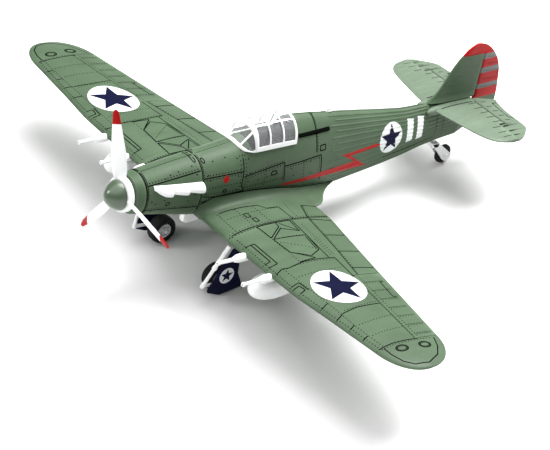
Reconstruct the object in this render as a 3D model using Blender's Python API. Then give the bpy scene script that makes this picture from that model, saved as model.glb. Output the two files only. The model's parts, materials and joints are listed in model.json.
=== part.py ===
"""Micro radio-controlled warbird: a low-wing single-engined fighter of 400 mm span.

The aeroplane is drawn in its own axes (X to port, Y aft from the spinner's tip, Z up from the
thrust line, in millimetres) under one empty, which is then pitched and lifted so that the two
main wheels and the tail wheel stand on Z = 0 with the nose towards -Y.
"""
import math

import bmesh
import bpy
from mathutils import Matrix, Vector

MM = 0.001
GAP = 0.3                      # clearance between touching pieces
HALF_SPAN = 200.0
WALL = 1.2                     # thickness of the moulded shells

# wing
ROOT_X, TIP_X = 44.6, 176.0    # outer panel joint, and where the rounded tip starts
WING_LE = ((0.0, 63.2), (109.0, 63.2), (135.0, 66.0), (176.0, 69.4), (200.0, 71.4))
WING_TE = ((0.0, 143.5), (46.4, 142.5), (108.0, 129.7), (176.0, 116.4), (200.0, 111.8))
WING_Z = ((0.0, -17.8), (46.4, -17.8), (200.0, -14.4))
WING_THICK = ((0.0, 0.125), (46.4, 0.125), (176.0, 0.105), (200.0, 0.10))
WING_CAMBER = 0.07             # of the chord, as the height of a parabola at four times mid-chord
WING_EDGE = 0.28               # least half thickness, at the trailing edge
FOUR_DIGIT = (-0.126, -0.3516, 0.2843, -0.1036)     # thickness law of the four-digit sections
AILERON_X = (109.0, 175.2)
AILERON_HINGE = ((109.0, 109.3), (176.0, 100.4))

# root fillet: station, reach from the centre plane, and height of its outer edge
FILLET = ((66.0, 21.0, -13.6), (72.0, 20.6, -12.6), (90.0, 19.6, -11.6), (106.0, 20.0, -11.9),
          (116.0, 24.4, -12.8), (128.0, 26.4, -14.4), (138.0, 27.6, -15.6), (146.0, 26.8, -16.3),
          (154.0, 22.6, -17.0), (163.0, 18.0, -17.6), (172.0, 15.6, -18.4))

# tail
TAIL_Z = 16.1
TAIL_SPAN = 56.6
TAIL_HINGE_Y = 293.6
RUDDER_HINGE_Y = 297.2
TAIL_THICK = 4.2
HORN_HALF = 0.8                # half thickness of the elevator's balance horn

# undercarriage
WHEEL_X, WHEEL_Y, WHEEL_Z, WHEEL_R, WHEEL_W = 28.9, 74.7, -55.2, 9.2, 8.2
TAIL_WHEEL_Y, TAIL_WHEEL_Z, TAIL_WHEEL_R, TAIL_WHEEL_W = 281.6, -24.2, 6.7, 3.4
STEER_Y = 269.0

# cockpit
SILL_Z = 18.6
SCREEN_Y, HOOD_FRONT, HOOD_REAR = 90.6, 100.6, 132.6
HOOD_HALF, HOOD_BASE = 13.3, 17.4
ARCH_Z = 34.0                  # crown of the windscreen's rear arch
GLASS_FOOT = 20.4              # the glass stops above the decking that the hood slides over

# flat underside of the radiator bath, where a display stand bears
STAND_PAD = (0.0, 109.5, -35.2)

# propeller
PROP_Y, PROP_R, HUB_R = 12.4, 50.8, 11.0
BLADE_ANGLES = (-21.8, 98.2, 218.2)


# ---------------------------------------------------------------- helpers
def clear_scene():
    for obj in list(bpy.data.objects):
        bpy.data.objects.remove(obj, do_unlink=True)


def material(name, rgb, roughness=0.5, metallic=0.0, alpha=1.0):
    mat = bpy.data.materials.get(name)
    if mat is None:
        mat = bpy.data.materials.new(name)
        mat.use_nodes = True
        shader = mat.node_tree.nodes["Principled BSDF"]
        shader.inputs["Base Color"].default_value = (*rgb, 1.0)
        shader.inputs["Roughness"].default_value = roughness
        shader.inputs["Metallic"].default_value = metallic
        shader.inputs["Alpha"].default_value = alpha
    return mat


def green():
    return material("moulded_green", (0.17, 0.24, 0.165), 0.55)


def white():
    return material("white_plastic", (0.85, 0.86, 0.86), 0.4)


def black():
    return material("black_plastic", (0.012, 0.012, 0.014), 0.5)


def clear():
    return material("clear_canopy", (0.86, 0.9, 0.92), 0.08, alpha=0.35)


def red():
    return material("red_paint", (0.42, 0.03, 0.025), 0.45)


def navy():
    return material("navy_paint", (0.012, 0.014, 0.04), 0.45)


def steel():
    return material("bright_steel", (0.62, 0.62, 0.64), 0.3, 1.0)


def rubber():
    return material("tyre_rubber", (0.02, 0.02, 0.02), 0.85)


def interpolate(table, x):
    """Straight-line reading of a short table of (x, value) pairs."""
    if x <= table[0][0]:
        return table[0][1]
    for (x0, v0), (x1, v1) in zip(table, table[1:]):
        if x <= x1:
            return v0 + (v1 - v0) * (x - x0) / (x1 - x0)
    return table[-1][1]


def smooth_curve(table, x):
    """Rounded reading of a table of (x, value) pairs that never overshoots its values."""
    if x <= table[0][0]:
        return table[0][1]
    rises = [(b[1] - a[1]) / (b[0] - a[0]) for a, b in zip(table, table[1:])]
    inner = [2 * p * q / (p + q) if p * q > 0 else 0.0 for p, q in zip(rises, rises[1:])]
    slopes = [rises[0]] + inner + [rises[-1]]
    for k, ((x0, v0), (x1, v1)) in enumerate(zip(table, table[1:])):
        if x <= x1:
            span = x1 - x0
            t = (x - x0) / span
            ends = v0 * (1 + 2 * t) * (1 - t) ** 2 + v1 * t * t * (3 - 2 * t)
            return ends + span * (slopes[k] * t * (1 - t) ** 2 - slopes[k + 1] * t * t * (1 - t))
    return table[-1][1]


def new_object(name, bm, mat, root, smooth=True):
    """Turn a bmesh drawn in millimetres into a named object under the root empty."""
    bmesh.ops.recalc_face_normals(bm, faces=bm.faces)
    bmesh.ops.scale(bm, vec=(MM, MM, MM), verts=bm.verts)
    mesh = bpy.data.meshes.new(name)
    bm.to_mesh(mesh)
    bm.free()
    if smooth:
        mesh.shade_smooth()
        mesh.set_sharp_from_angle(angle=math.radians(35))
    mesh.materials.append(mat)
    obj = bpy.data.objects.new(name, mesh)
    bpy.context.collection.objects.link(obj)
    obj.parent = root
    return obj


def set_origin(obj, point):
    """Move an object's origin to a joint axis, in aeroplane millimetres."""
    offset = Vector(point) * MM
    obj.data.transform(Matrix.Translation(-offset))
    obj.location = offset
    return obj


def loft(rings, closed_loop=False):
    """Skin a row of rings that have the same number of points, and cap its two ends."""
    bm = bmesh.new()
    rows = [[bm.verts.new(p) for p in ring] for ring in rings]
    pairs = list(zip(rows, rows[1:]))
    if closed_loop:
        pairs.append((rows[-1], rows[0]))
    for low, high in pairs:
        count = len(low)
        for i in range(count):
            j = (i + 1) % count
            bm.faces.new((low[i], low[j], high[j], high[i]))
    if not closed_loop:
        bm.faces.new(rows[0])
        bm.faces.new(list(reversed(rows[-1])))
    return bm


def turned(profile, centre, axis, segments=24, closed=False):
    """Turn (along, radius) points round an axis; a closed profile makes a ring."""
    centre = Vector(centre)
    direction = Vector(axis).normalized()
    side = direction.orthogonal().normalized()
    up = direction.cross(side)
    bm = bmesh.new()
    columns = []
    for along, radius in profile:
        middle = centre + direction * along
        if radius < 1e-6:
            columns.append([bm.verts.new(middle)])
            continue
        turn = [2 * math.pi * k / segments for k in range(segments)]
        ring = [middle + radius * (side * math.cos(a) + up * math.sin(a)) for a in turn]
        columns.append([bm.verts.new(p) for p in ring])
    pairs = list(zip(columns, columns[1:]))
    if closed:
        pairs.append((columns[-1], columns[0]))
    for a, b in pairs:
        for i in range(segments):
            j = (i + 1) % segments
            if len(a) == 1:
                bm.faces.new((a[0], b[i], b[j]))
            elif len(b) == 1:
                bm.faces.new((a[i], a[j], b[0]))
            else:
                bm.faces.new((a[i], a[j], b[j], b[i]))
    if not closed:
        for column in (columns[0], columns[-1]):
            if len(column) > 1:
                bm.faces.new(column)
    return bm


def rod(start, end, radius, segments=12):
    start, end = Vector(start), Vector(end)
    length = (end - start).length
    return turned([(0, radius), (length, radius)], start, end - start, segments)


def block(low, high):
    """A plain box between two corners."""
    (x0, y0, z0), (x1, y1, z1) = low, high
    ring = [(x0, y0), (x1, y0), (x1, y1), (x0, y1)]
    return loft([[(x, y, z0) for x, y in ring], [(x, y, z1) for x, y in ring]])


def prism(outline, axis, low, high):
    """Extrude an outline along X or Z; its points are (y, z) for X and (x, y) for Z."""
    if axis == "X":
        return loft([[(v, a, b) for a, b in outline] for v in (low, high)])
    return loft([[(a, b, v) for a, b in outline] for v in (low, high)])


def tool(name, bm, root):
    """A cutter or an added lump, which is left out of the build."""
    obj = new_object(name, bm, black(), root, smooth=False)
    obj.hide_render = True
    obj.display_type = "WIRE"
    return obj


def combine(obj, other, operation="DIFFERENCE"):
    modifier = obj.modifiers.new(operation.lower(), "BOOLEAN")
    modifier.operation = operation
    modifier.object = other
    return obj


# ---------------------------------------------------------------- fuselage form
#           y      half  top   bottom
STATIONS = ((13.0, 11.4, 11.4, -11.4), (22.0, 12.5, 13.0, -13.7), (42.0, 13.9, 15.7, -18.0),
            (63.0, 15.0, 18.2, -22.6), (90.0, 16.2, 21.4, -25.0), (98.0, 16.3, 23.4, -25.2),
            (103.0, 16.3, 29.0, -25.4), (112.0, 16.3, 31.4, -25.5), (134.0, 16.2, 31.9, -25.6),
            (153.0, 15.2, 30.2, -25.4), (171.0, 13.8, 27.6, -24.0), (196.0, 11.9, 24.1, -21.2),
            (216.0, 10.3, 21.2, -18.6), (238.0, 8.3, 18.9, -15.2), (254.0, 6.7, 18.9, -12.0),
            (272.0, 4.8, 18.9, -10.0), (286.0, 3.3, 18.9, -9.2), (293.4, 2.4, 18.9, -6.0))


def station(y):
    """Half width, top and bottom of the fuselage at y."""
    columns = [[(s[0], s[i]) for s in STATIONS] for i in (1, 2, 3)]
    return [smooth_curve(column, y) for column in columns]


def deck_power(y):
    """Exponent of the upper curve: full on the cowling, peaked along the rear decking."""
    return interpolate(((60.0, 2.1), (98.0, 2.1), (104.0, 1.75), (300.0, 1.75)), y)


def half_width(y, z, inset=0.0):
    half, top, bottom = station(y)
    height = (top if z > 0 else -bottom) - inset
    power = deck_power(y) if z > 0 else 2.3
    share = min(abs(z) / height, 1.0)
    return (half - inset) * (1.0 - share ** power) ** (1.0 / power)


def half_section(y, inset=0.0, steps=16, x_min=0.0):
    """Points of one side of the section, from the top line round to the keel."""
    half, top, bottom = station(y)
    half, top, bottom = half - inset, top - inset, bottom + inset
    points = []
    for k in range(steps + 1):
        turn = math.pi * (0.5 - k / steps)
        power = deck_power(y) if turn >= 0 else 2.3
        x = half * abs(math.cos(turn)) ** (2.0 / power)
        height = top if turn >= 0 else -bottom
        z = height * math.copysign(abs(math.sin(turn)) ** (2.0 / power), turn)
        points.append((max(x, x_min), y, z))
    return points


def full_section(y, inset=0.0, steps=12):
    right = half_section(y, inset, steps)
    left = [(-x, yy, z) for x, yy, z in reversed(right[1:-1])]
    return right + left


def stations_between(y0, y1, spacing=9.0):
    inner = [s[0] for s in STATIONS if y0 + 2 < s[0] < y1 - 2]
    rows = [y0] + inner + [y1]
    result = []
    for a, b in zip(rows, rows[1:]):
        parts = max(1, round((b - a) / (2 * spacing)))
        result += [a + (b - a) * k / parts for k in range(parts)]
    return result + [y1]


# ---------------------------------------------------------------- wing form
def edge_curve(x, le, te):
    """Round the two edges together outboard of TIP_X."""
    if x <= TIP_X:
        return le, te
    share = min((x - TIP_X) / (HALF_SPAN - TIP_X), 0.9995)
    keep = (1.0 - share ** 2.3) ** (1.0 / 2.3)
    middle = le + 0.46 * (te - le)
    return middle - (middle - le) * keep, middle + (te - middle) * keep


def wing_edges(x):
    return edge_curve(x, interpolate(WING_LE, x), interpolate(WING_TE, x))


def wing_surface(x, y):
    """Upper and lower Z of the wing at (x, y)."""
    le, te = wing_edges(x)
    chord = te - le
    t = min(max((y - le) / chord, 0.0), 1.0)
    thick = interpolate(WING_THICK, x)
    power_terms = sum(c * t ** k for k, c in enumerate(FOUR_DIGIT, start=1))
    body = 5 * thick * (0.2969 * math.sqrt(t) + power_terms)
    camber = WING_CAMBER * t * (1.0 - t)
    middle = interpolate(WING_Z, x) + chord * camber
    half = max(chord * body, WING_EDGE)
    return middle + half, middle - half


def wing_ring(x, count=11):
    le, te = wing_edges(x)
    share = [0.5 * (1.0 - math.cos(math.pi * k / count)) for k in range(count + 1)]
    rows = [le + (te - le) * s for s in share]
    upper = [(x, y, wing_surface(x, y)[0]) for y in reversed(rows)]
    lower = [(x, y, wing_surface(x, y)[1]) for y in rows]
    return upper + lower


def mirrored(points, side):
    return [(side * x, y, z) for x, y, z in points]


# ---------------------------------------------------------------- fuselage pieces
def build_fuselage(root, side, label):
    """One moulded half shell from the firewall to the sternpost."""
    rings = []
    for y in stations_between(62.0, 293.4):
        wall = min(WALL, 0.45 * station(y)[0])
        outer = half_section(y, 0.0, 18, x_min=GAP / 2)
        inner = half_section(y, wall, 18, x_min=GAP / 2)
        rings.append(mirrored(outer + list(reversed(inner)), side))
    shell = new_object(f"fuselage_{label}", loft(rings), green(), root)

    wing_top = [(y, wing_surface(16.0, y)[0] + GAP) for y in range(64, 144, 6)]
    front, rear = 61.0, 144.1
    saddle = [(front, -60), (front, -16.5)] + wing_top + [(rear, -16.5), (rear, -60)]
    combine(shell, tool(f"wing_saddle_{label}", prism(saddle, "X", -40, 40), root))
    sill = [(99.0, SILL_Z), (132.8, SILL_Z), (134.4, 60), (97.4, 60)]
    combine(shell, tool(f"cockpit_opening_{label}", prism(sill, "X", -40, 40), root))
    deck = block((-30, 255.0, TAIL_Z - TAIL_THICK / 2 - 0.7), (30, 300, 60))
    combine(shell, tool(f"tail_seat_{label}", deck, root))
    post_hole = rod((0, STEER_Y, -20.0), (0, STEER_Y, -4.0), 1.7)
    combine(shell, tool(f"steering_hole_{label}", post_hole, root))
    return shell


def build_cowling(root):
    """Removable engine cowling: a tapering tube that is open at both ends."""
    rows = stations_between(22.0, 61.6)
    outer = [full_section(y, 0.0, 14) for y in rows]
    inner = [full_section(y, WALL, 14) for y in rows]
    cowling = new_object("cowling", loft(outer + list(reversed(inner)), closed_loop=True), green(), root)
    ring = [full_section(y, 0.0, 14) for y in (15.2, 18.0, 21.6)]
    bore = [[(x * 0.5, y, z * 0.5) for x, y, z in section] for section in ring]
    nose = new_object("nose_ring", loft(ring + list(reversed(bore)), closed_loop=True), green(), root)
    return cowling, nose


def build_exhaust(root, side, label):
    """Three stub pipes on a base strip, each flaring towards its open end."""
    rings = []
    stubs, start, pitch = 3, 27.5, 12.2
    for k in range(stubs):
        for share, reach in ((0.0, 1.2), (0.35, 2.6), (0.97, 3.9), (1.0, 1.2)):
            y = start + pitch * (k + share * 0.985)
            middle, half = 5.1 - 0.055 * (y - start), 2.7 + 0.25 * reach
            side_x = half_width(y, middle) + GAP
            ring = []
            for turn in range(7):
                a = math.pi * turn / 6
                z = middle + half * math.cos(a)
                ring.append((max(half_width(y, z) + GAP, side_x - 0.6) + reach * math.sin(a) + 0.02, y, z))
            back = [(half_width(y, p[2]) + GAP, y, p[2]) for p in (ring[5], ring[3], ring[1])]
            rings.append(mirrored(ring + back, side))
    return new_object(f"exhaust_{label}", loft(rings), white(), root)


# ---------------------------------------------------------------- wing pieces
def build_centre_section(root):
    """Wing centre section, with the belly under the cabin and the fillets at the trailing edge."""
    stops = [-ROOT_X, -36, -26, -17, 0, 17, 26, 36, ROOT_X]
    rings = [mirrored(wing_ring(abs(x)), 1 if x >= 0 else -1) for x in stops]
    wing = new_object("wing_centre_section", loft(rings), green(), root)

    belly_rows = stations_between(63.4, 143.9)
    belly = []
    for y in belly_rows:
        curve = [p for p in full_section(y, 0.0, 16) if p[2] < -17.0]
        edge = half_width(y, -17.5)
        points = sorted(curve, key=lambda p: p[0])
        belly.append([(-edge, y, -17.5)] + points + [(edge, y, -17.5)])
    count = min(len(row) for row in belly)
    belly = [row if len(row) == count else row[:1] + row[2:-2] + row[-1:] for row in belly]
    combine(wing, tool("belly_form", loft(belly), root), "UNION")

    for side in (1, -1):
        rings = []
        for y, reach, top in FILLET:
            root_x = half_width(y, top + 3.0) + GAP
            low = top - 1.6
            rings.append(mirrored([(root_x, y, top + 2.4), (reach, y, top), (reach, y, low),
                                   (half_width(y, low) + GAP, y, low)], side))
        combine(wing, tool(f"fillet_form_{side}", loft(rings), root), "UNION")
    return wing


def build_wing_panel(root, side, label):
    """Outer wing panel with a bay for its aileron."""
    stops = [ROOT_X + GAP, 62, 84, 109, 135, 156, 176, 183, 189, 194, 197.5, 199.4, HALF_SPAN]
    rings = [mirrored(wing_ring(x), side) for x in stops]
    panel = new_object(f"wing_panel_{label}", loft(rings), green(), root)
    (x0, x1), play = AILERON_X, 0.45
    bay = []
    for x in (x0 - play, x1 + play):
        hinge = interpolate(AILERON_HINGE, x)
        bay.append((side * x, hinge - aileron_nose(x) - play))
    bay += [(side * (x1 + play), 160), (side * (x0 - play), 160)]
    return combine(panel, tool(f"aileron_bay_{label}", prism(bay, "Z", -40, 20), root))


def aileron_nose(x):
    upper, lower = wing_surface(x, interpolate(AILERON_HINGE, x))
    return (upper - lower) / 2


def surface_ring(fixed, hinge, nose, rows, place):
    """Section of a control surface: a round nose about its hinge, then two straight skins."""
    points = [(hinge + back, centre + half) for back, centre, half in reversed(rows)]
    for k in range(1, 6):
        a = math.pi / 2 + math.pi * k / 6
        points.append((hinge + nose * math.cos(a), rows[0][1] + nose * math.sin(a)))
    points += [(hinge + back, centre - half) for back, centre, half in rows]
    return [place(fixed, u, v) for u, v in points]


def build_aileron(root, side, label):
    rings = []
    x0, x1 = AILERON_X
    for x in (x0, x0 + (x1 - x0) / 3, x0 + 2 * (x1 - x0) / 3, x1):
        hinge = interpolate(AILERON_HINGE, x)
        te = wing_edges(x)[1]
        rows = []
        for share in (0.0, 0.5, 1.0):
            y = hinge + (te - hinge) * share
            upper, lower = wing_surface(x, y)
            rows.append((y - hinge, (upper + lower) / 2, (upper - lower) / 2))
        rings.append(surface_ring(side * x, hinge, rows[0][2], rows, lambda f, u, v: (f, u, v)))
    aileron = new_object(f"aileron_{label}", loft(rings), green(), root)
    upper, lower = wing_surface(x0, interpolate(AILERON_HINGE, x0))
    return set_origin(aileron, (side * x0, interpolate(AILERON_HINGE, x0), (upper + lower) / 2))


# ---------------------------------------------------------------- tail pieces
TAILPLANE_LE = ((0.0, 256.0), (12.3, 257.5), (21.5, 259.4), (31.7, 261.6), (41.7, 264.2), (49.7, 268.0),
                (54.4, 274.6), (56.4, 283.0))
ELEVATOR_TE = ((3.0, 310.8), (25.0, 305.4), (43.0, 304.6), (50.0, 298.5), (54.5, 291.5), (56.4, 285.0))


def tail_half(x, y):
    """Half thickness of the tailplane and elevators."""
    le, te = interpolate(TAILPLANE_LE, x), interpolate(ELEVATOR_TE, x)
    t = min(max((y - le) / max(te - le, 1.0), 0.0), 1.0)
    scale = interpolate(((0.0, 1.0), (40.0, 0.8), (TAIL_SPAN, 0.45)), x)
    return max(0.35, scale * TAIL_THICK / 2 * 2.6 * math.sqrt(t) * (1.0 - t) ** 0.75)


def horn_y(x):
    """Leading edge of the elevator's balance horn, outboard of the hinge line."""
    return 286.2 if x > 37.0 else TAIL_HINGE_Y


def build_tailplane(root):
    """One fixed plane, right through the fuselage; its corners are cut back for the horns."""
    nose = tail_half(5.0, TAIL_HINGE_Y)
    rear = TAIL_HINGE_Y - nose - 0.45
    rings = []
    stops = [0.0, 6.0, 12.3, 21.5, 31.7, 36.4, 36.8, 41.7, 46.0, 49.7, 52.4, 54.4, 55.6]
    for x in [-s for s in reversed(stops[1:])] + stops:
        span = abs(x)
        le = interpolate(TAILPLANE_LE, span)
        back = rear if span < 36.6 else 285.4
        rows = [le + (back - le) * s for s in (0.0, 0.04, 0.16, 0.45, 0.75, 1.0)]
        upper = [(x, y, TAIL_Z + tail_half(span, y)) for y in reversed(rows)]
        lower = [(x, y, TAIL_Z - tail_half(span, y)) for y in rows]
        rings.append(upper + lower)
    return new_object("tailplane", loft(rings), green(), root)


def build_elevator(root, side, label):
    """Elevator with a balance horn ahead of the hinge at its tip and a cut-back root."""
    rings = []
    for x in (3.6, 16.0, 27.0, 37.2, 37.6, 43.0, 48.0, 51.6, 54.5, 56.4):
        te = interpolate(ELEVATOR_TE, x)
        front = horn_y(x) if x > 37.4 else TAIL_HINGE_Y
        half = tail_half(x, TAIL_HINGE_Y) if front == TAIL_HINGE_Y else HORN_HALF
        rows = [(front + (te - front) * s) for s in (0.0, 0.35, 0.7, 1.0)]
        x_at = [x + (max(0.0, y - TAIL_HINGE_Y) * 0.3 if x < 5 else 0.0) for y in rows]
        upper = [(side * px, y, TAIL_Z + min(half, tail_half(x, y) if y > TAIL_HINGE_Y else half))
                 for px, y in zip(reversed(x_at), reversed(rows))]
        lower = [(side * px, y, TAIL_Z - min(half, tail_half(x, y) if y > TAIL_HINGE_Y else half))
                 for px, y in zip(x_at, rows)]
        bend = half if front == TAIL_HINGE_Y else HORN_HALF
        turns = [math.pi * k / 4 for k in (1, 2, 3)]
        nose = [(side * x, front - bend * math.sin(a), TAIL_Z + bend * math.cos(a)) for a in turns]
        rings.append(upper + nose + lower)
    elevator = new_object(f"elevator_{label}", loft(rings), green(), root)
    return set_origin(elevator, (0.0, TAIL_HINGE_Y, TAIL_Z))


def build_joiner(root):
    """Wire that joins the two elevators across the sternpost."""
    ends = [(x, TAIL_HINGE_Y, TAIL_Z) for x in (-3.2, 3.2)]
    joiner = new_object("elevator_joiner", rod(*ends, 0.7), steel(), root)
    return set_origin(joiner, (0.0, TAIL_HINGE_Y, TAIL_Z))


FIN_LE = ((19.2, 254.0), (26.6, 262.0), (36.3, 267.4), (44.0, 271.8), (49.4, 276.0))
RUDDER_TE = ((-6.0, 309.0), (0.0, 314.5), (12.4, 317.8), (20.0, 317.2), (27.5, 315.9), (34.1, 314.6),
             (42.8, 310.7), (50.2, 304.6), (56.0, 296.5), (57.5, 290.5))
RUDDER_HALF = 1.3


def build_fin(root):
    """Fixed fin, flared at its foot into the fuselage deck."""
    rings = []
    rear = RUDDER_HINGE_Y - RUDDER_HALF - 0.45
    foot_flare = ((19.2, 2.0), (21.0, 1.0), (24.0, 0.35), (29.0, 0.0))
    for z in (19.2, 21.0, 24.0, 29.0, 36.3, 44.0, 49.4):
        le = interpolate(FIN_LE, z)
        half = 1.5 + interpolate(foot_flare, z)
        rows = ((le, 0.3), (le + 2.0, 0.6), (le + 8.0, 0.93), (le + 0.6 * (rear - le), 1.0), (rear, 0.8))
        port = [(half * share, y, z) for y, share in rows]
        rings.append(port + [(-x, y, zz) for x, y, zz in reversed(port)])
    return new_object("fin", loft(rings), green(), root)


def build_rudder(root):
    """Rudder down to the tail's end, with a balance cap that reaches forward over the fin."""
    rings = []
    for z in (-6.0, 0.0, 12.4, 20.0, 27.5, 34.1, 42.8, 49.9, 50.0, 53.5, 56.0, 57.5):
        te = interpolate(RUDDER_TE, z)
        front = RUDDER_HINGE_Y
        if z > 49.95:
            front = interpolate(((50.0, 277.6), (53.5, 280.6), (56.0, 284.6), (57.5, 287.8)), z)
        half = RUDDER_HALF * interpolate(((0.0, 1.0), (45.0, 1.0), (57.5, 0.55)), z)
        lead = half * (1.0 if z < 49.95 else 0.6)
        port = [(0.35, te), (half * 0.75, front + 0.5 * (te - front)), (half, front + 0.06 * (te - front))]
        turns = [math.pi * k / 8 for k in (1, 2, 3)]
        port += [(lead * math.cos(a), front - lead * math.sin(a)) for a in turns]
        port = [(x, y, z) for x, y in port]
        rings.append(port + [(-x, y, zz) for x, y, zz in reversed(port)])
    rudder = new_object("rudder", loft(rings), red(), root)
    return set_origin(rudder, (0.0, RUDDER_HINGE_Y, 0.0))


# ---------------------------------------------------------------- canopy and cockpit
def arch(y, half, crown, base, steps=10, foot=SILL_Z + GAP):
    """Round hood section from one sill over the crown to the other."""
    points = []
    start = math.asin(max(0.0, (foot - base) / (crown - base)) ** (2.3 / 2))
    for k in range(steps + 1):
        a = start + (math.pi - 2 * start) * k / steps
        x = half * math.copysign(abs(math.cos(a)) ** (2 / 2.3), math.cos(a))
        z = base + (crown - base) * abs(math.sin(a)) ** (2 / 2.3)
        points.append((x, y, z))
    return points


def hood_shell(skin_out, skin_in, foot=SILL_Z + GAP):
    """Closed shell between two offsets of the hood's surface, standing on its foot."""
    rows = ((HOOD_FRONT + GAP, 0.0), (111.0, 0.8), (122.0, 1.0), (HOOD_REAR, 0.6))
    rings = []
    for y, rise in rows:
        crown = ARCH_Z + rise
        outer = arch(y, HOOD_HALF - skin_out, crown - skin_out, HOOD_BASE, foot=foot)
        inner = arch(y, HOOD_HALF - skin_in, crown - skin_in, HOOD_BASE, foot=foot)
        rings.append(outer + list(reversed(inner)))
    return loft(rings)


def build_hood(root):
    """Sliding hood: a white frame with window openings over a clear moulding."""
    frame = new_object("canopy_frame", hood_shell(0.0, 0.7), white(), root)
    bays = ((102.6, 110.4), (112.0, 120.6), (122.2, 130.6))
    for number, (y0, y1) in enumerate(bays):
        side_window = block((-40, y0, 21.0), (40, y1, 29.0))
        combine(frame, tool(f"side_window_{number}", side_window, root))
        roof = block((-6.4, y0, 32.0), (6.4, y1, 50.0))
        combine(frame, tool(f"roof_window_{number}", roof, root))
    glass = new_object("canopy_glass", hood_shell(0.9, 1.3, GLASS_FOOT), clear(), root)
    return frame, glass


def screen_shell(skin_out, skin_in):
    """Windscreen: straight lines from a base on the deck up to the hood's front arch."""
    def skin(offset):
        back = arch(HOOD_FRONT, HOOD_HALF - offset, ARCH_Z - offset, HOOD_BASE)
        front = []
        for k, (x, _, _) in enumerate(back):
            share = abs(2 * k / (len(back) - 1) - 1)
            y = SCREEN_Y + offset * 1.4 + 8.2 * share ** 2.2
            reach = (HOOD_HALF - 0.6 - offset) * math.copysign(share ** 0.75, x)
            z = deck_height(y, abs(reach)) + GAP
            front.append((reach, y, max(z, SILL_Z + GAP)))
        return back, front
    back_out, front_out = skin(skin_out)
    back_in, front_in = skin(skin_in)
    rings = []
    for corner in zip(front_out, back_out, back_in, front_in):
        front, back, back_inner, front_inner = [Vector(p) for p in corner]
        middle, middle_inner = (front + back) / 2, (front_inner + back_inner) / 2
        rings.append([front, middle, back, back_inner, middle_inner, front_inner])
    return loft(rings)


def deck_height(y, x):
    """Height of the fuselage's upper surface at (x, y)."""
    half, top, _ = station(y)
    power = deck_power(y)
    share = min(x / half, 1.0)
    return top * (1.0 - share ** power) ** (1.0 / power)


def build_cockpit(root):
    tub = new_object("cockpit_tub", block((-8.8, 99.4, 1.0), (8.8, 131.0, 17.8)), black(), root, smooth=False)
    combine(tub, tool("tub_inside", block((-7.9, 100.3, 2.0), (7.9, 130.1, 30.0)), root))
    seat_side = [(113, 2.3), (124, 2.3), (127.5, 17.0), (125.6, 17.4), (122.5, 6.4), (113, 5.2)]
    seat = new_object("pilot_seat", prism(seat_side, "X", -5.2, 5.2), black(), root, smooth=False)
    panel = [(101.0, 7.0), (102.0, 7.0), (102.0, 18.0), (101.0, 18.0)]
    board = new_object("instrument_panel", prism(panel, "X", -7.4, 7.4), black(), root, smooth=False)
    rest = [(128.3, 18.6), (129.5, 18.6), (130.6, 30.0), (129.5, 30.0)]
    headrest = new_object("headrest", prism(rest, "X", -3.4, 3.4), black(), root, smooth=False)
    return tub, seat, board, headrest


def build_rail(root, side, label):
    """Guide rail that the hood slides along, standing just proud of the decking."""
    rings = []
    for k in range(6):
        y = 135.0 + 24.0 * k / 5
        z = 22.6 - 0.02 * (y - 135.0)
        low, high = z - 0.8, z + 0.8
        foot_low, foot_high = half_width(y, low) + GAP, half_width(y, high) + GAP
        rings.append(mirrored([(foot_low, y, low), (foot_low + 0.4, y, low),
                               (foot_high + 0.4, y, high), (foot_high, y, high)], side))
    return new_object(f"canopy_rail_{label}", loft(rings), black(), root)


def build_mast(root):
    rings = []
    for z, front, rear in ((29.0, 164.8, 169.4), (31.5, 165.4, 169.0)):
        middle = (front + rear) / 2
        long, wide = (rear - front) / 2, 0.9
        rings.append([(wide * math.cos(a), middle + long * math.sin(a), z)
                      for a in [2 * math.pi * k / 12 for k in range(12)]])
    return new_object("aerial_mast", loft(rings), white(), root)


# ---------------------------------------------------------------- propeller
def build_propeller(root):
    """Hub ring and three twisted blades, joined into one moulding."""
    profile = [(10.4, 0.0), (10.4, HUB_R - 0.8), (11.2, HUB_R), (14.6, HUB_R), (14.6, 0.0)]
    hub = new_object("propeller", turned(profile, (0, 0, 0), (0, 1, 0), 32), white(), root)
    sections = ((6.0, 4.6, 2.6, 42.0), (13.0, 5.6, 2.0, 38.0), (22.0, 7.2, 1.6, 32.0), (32.0, 7.4, 1.3, 27.0),
                (41.0, 6.2, 1.1, 23.0), (47.0, 4.6, 0.9, 21.0), (PROP_R, 1.8, 0.7, 20.0))
    for number, angle in enumerate(BLADE_ANGLES):
        spin = Matrix.Rotation(math.radians(angle), 3, "Y")
        rings = []
        for radius, chord, thick, pitch in sections:
            twist = math.radians(90.0 - pitch)
            ring = []
            for k in range(8):
                a = 2 * math.pi * k / 8
                u, v = chord / 2 * math.cos(a), thick / 2 * math.sin(a)
                x = u * math.sin(twist) - v * math.cos(twist)
                y = u * math.cos(twist) + v * math.sin(twist)
                ring.append(spin @ Vector((x, PROP_Y + y, radius)))
            rings.append(ring)
        combine(hub, tool(f"blade_{number}", loft(rings), root), "UNION")
    profile = [(0.0, 0.0)]
    for k in range(1, 9):
        share = k / 8
        profile.append((10.0 * share, 10.7 * (1.0 - (1.0 - share) ** 1.6) ** 0.62))
    profile += [(10.0, 0.0)]
    spinner = new_object("spinner", turned(profile, (0, 0, 0), (0, 1, 0), 28), green(), root)
    shaft = new_object("prop_shaft", rod((0, 14.9, 0), (0, 27.0, 0), 1.0), steel(), root)
    for piece in (hub, spinner, shaft):
        set_origin(piece, (0, PROP_Y, 0))
    return hub, spinner, shaft


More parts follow.
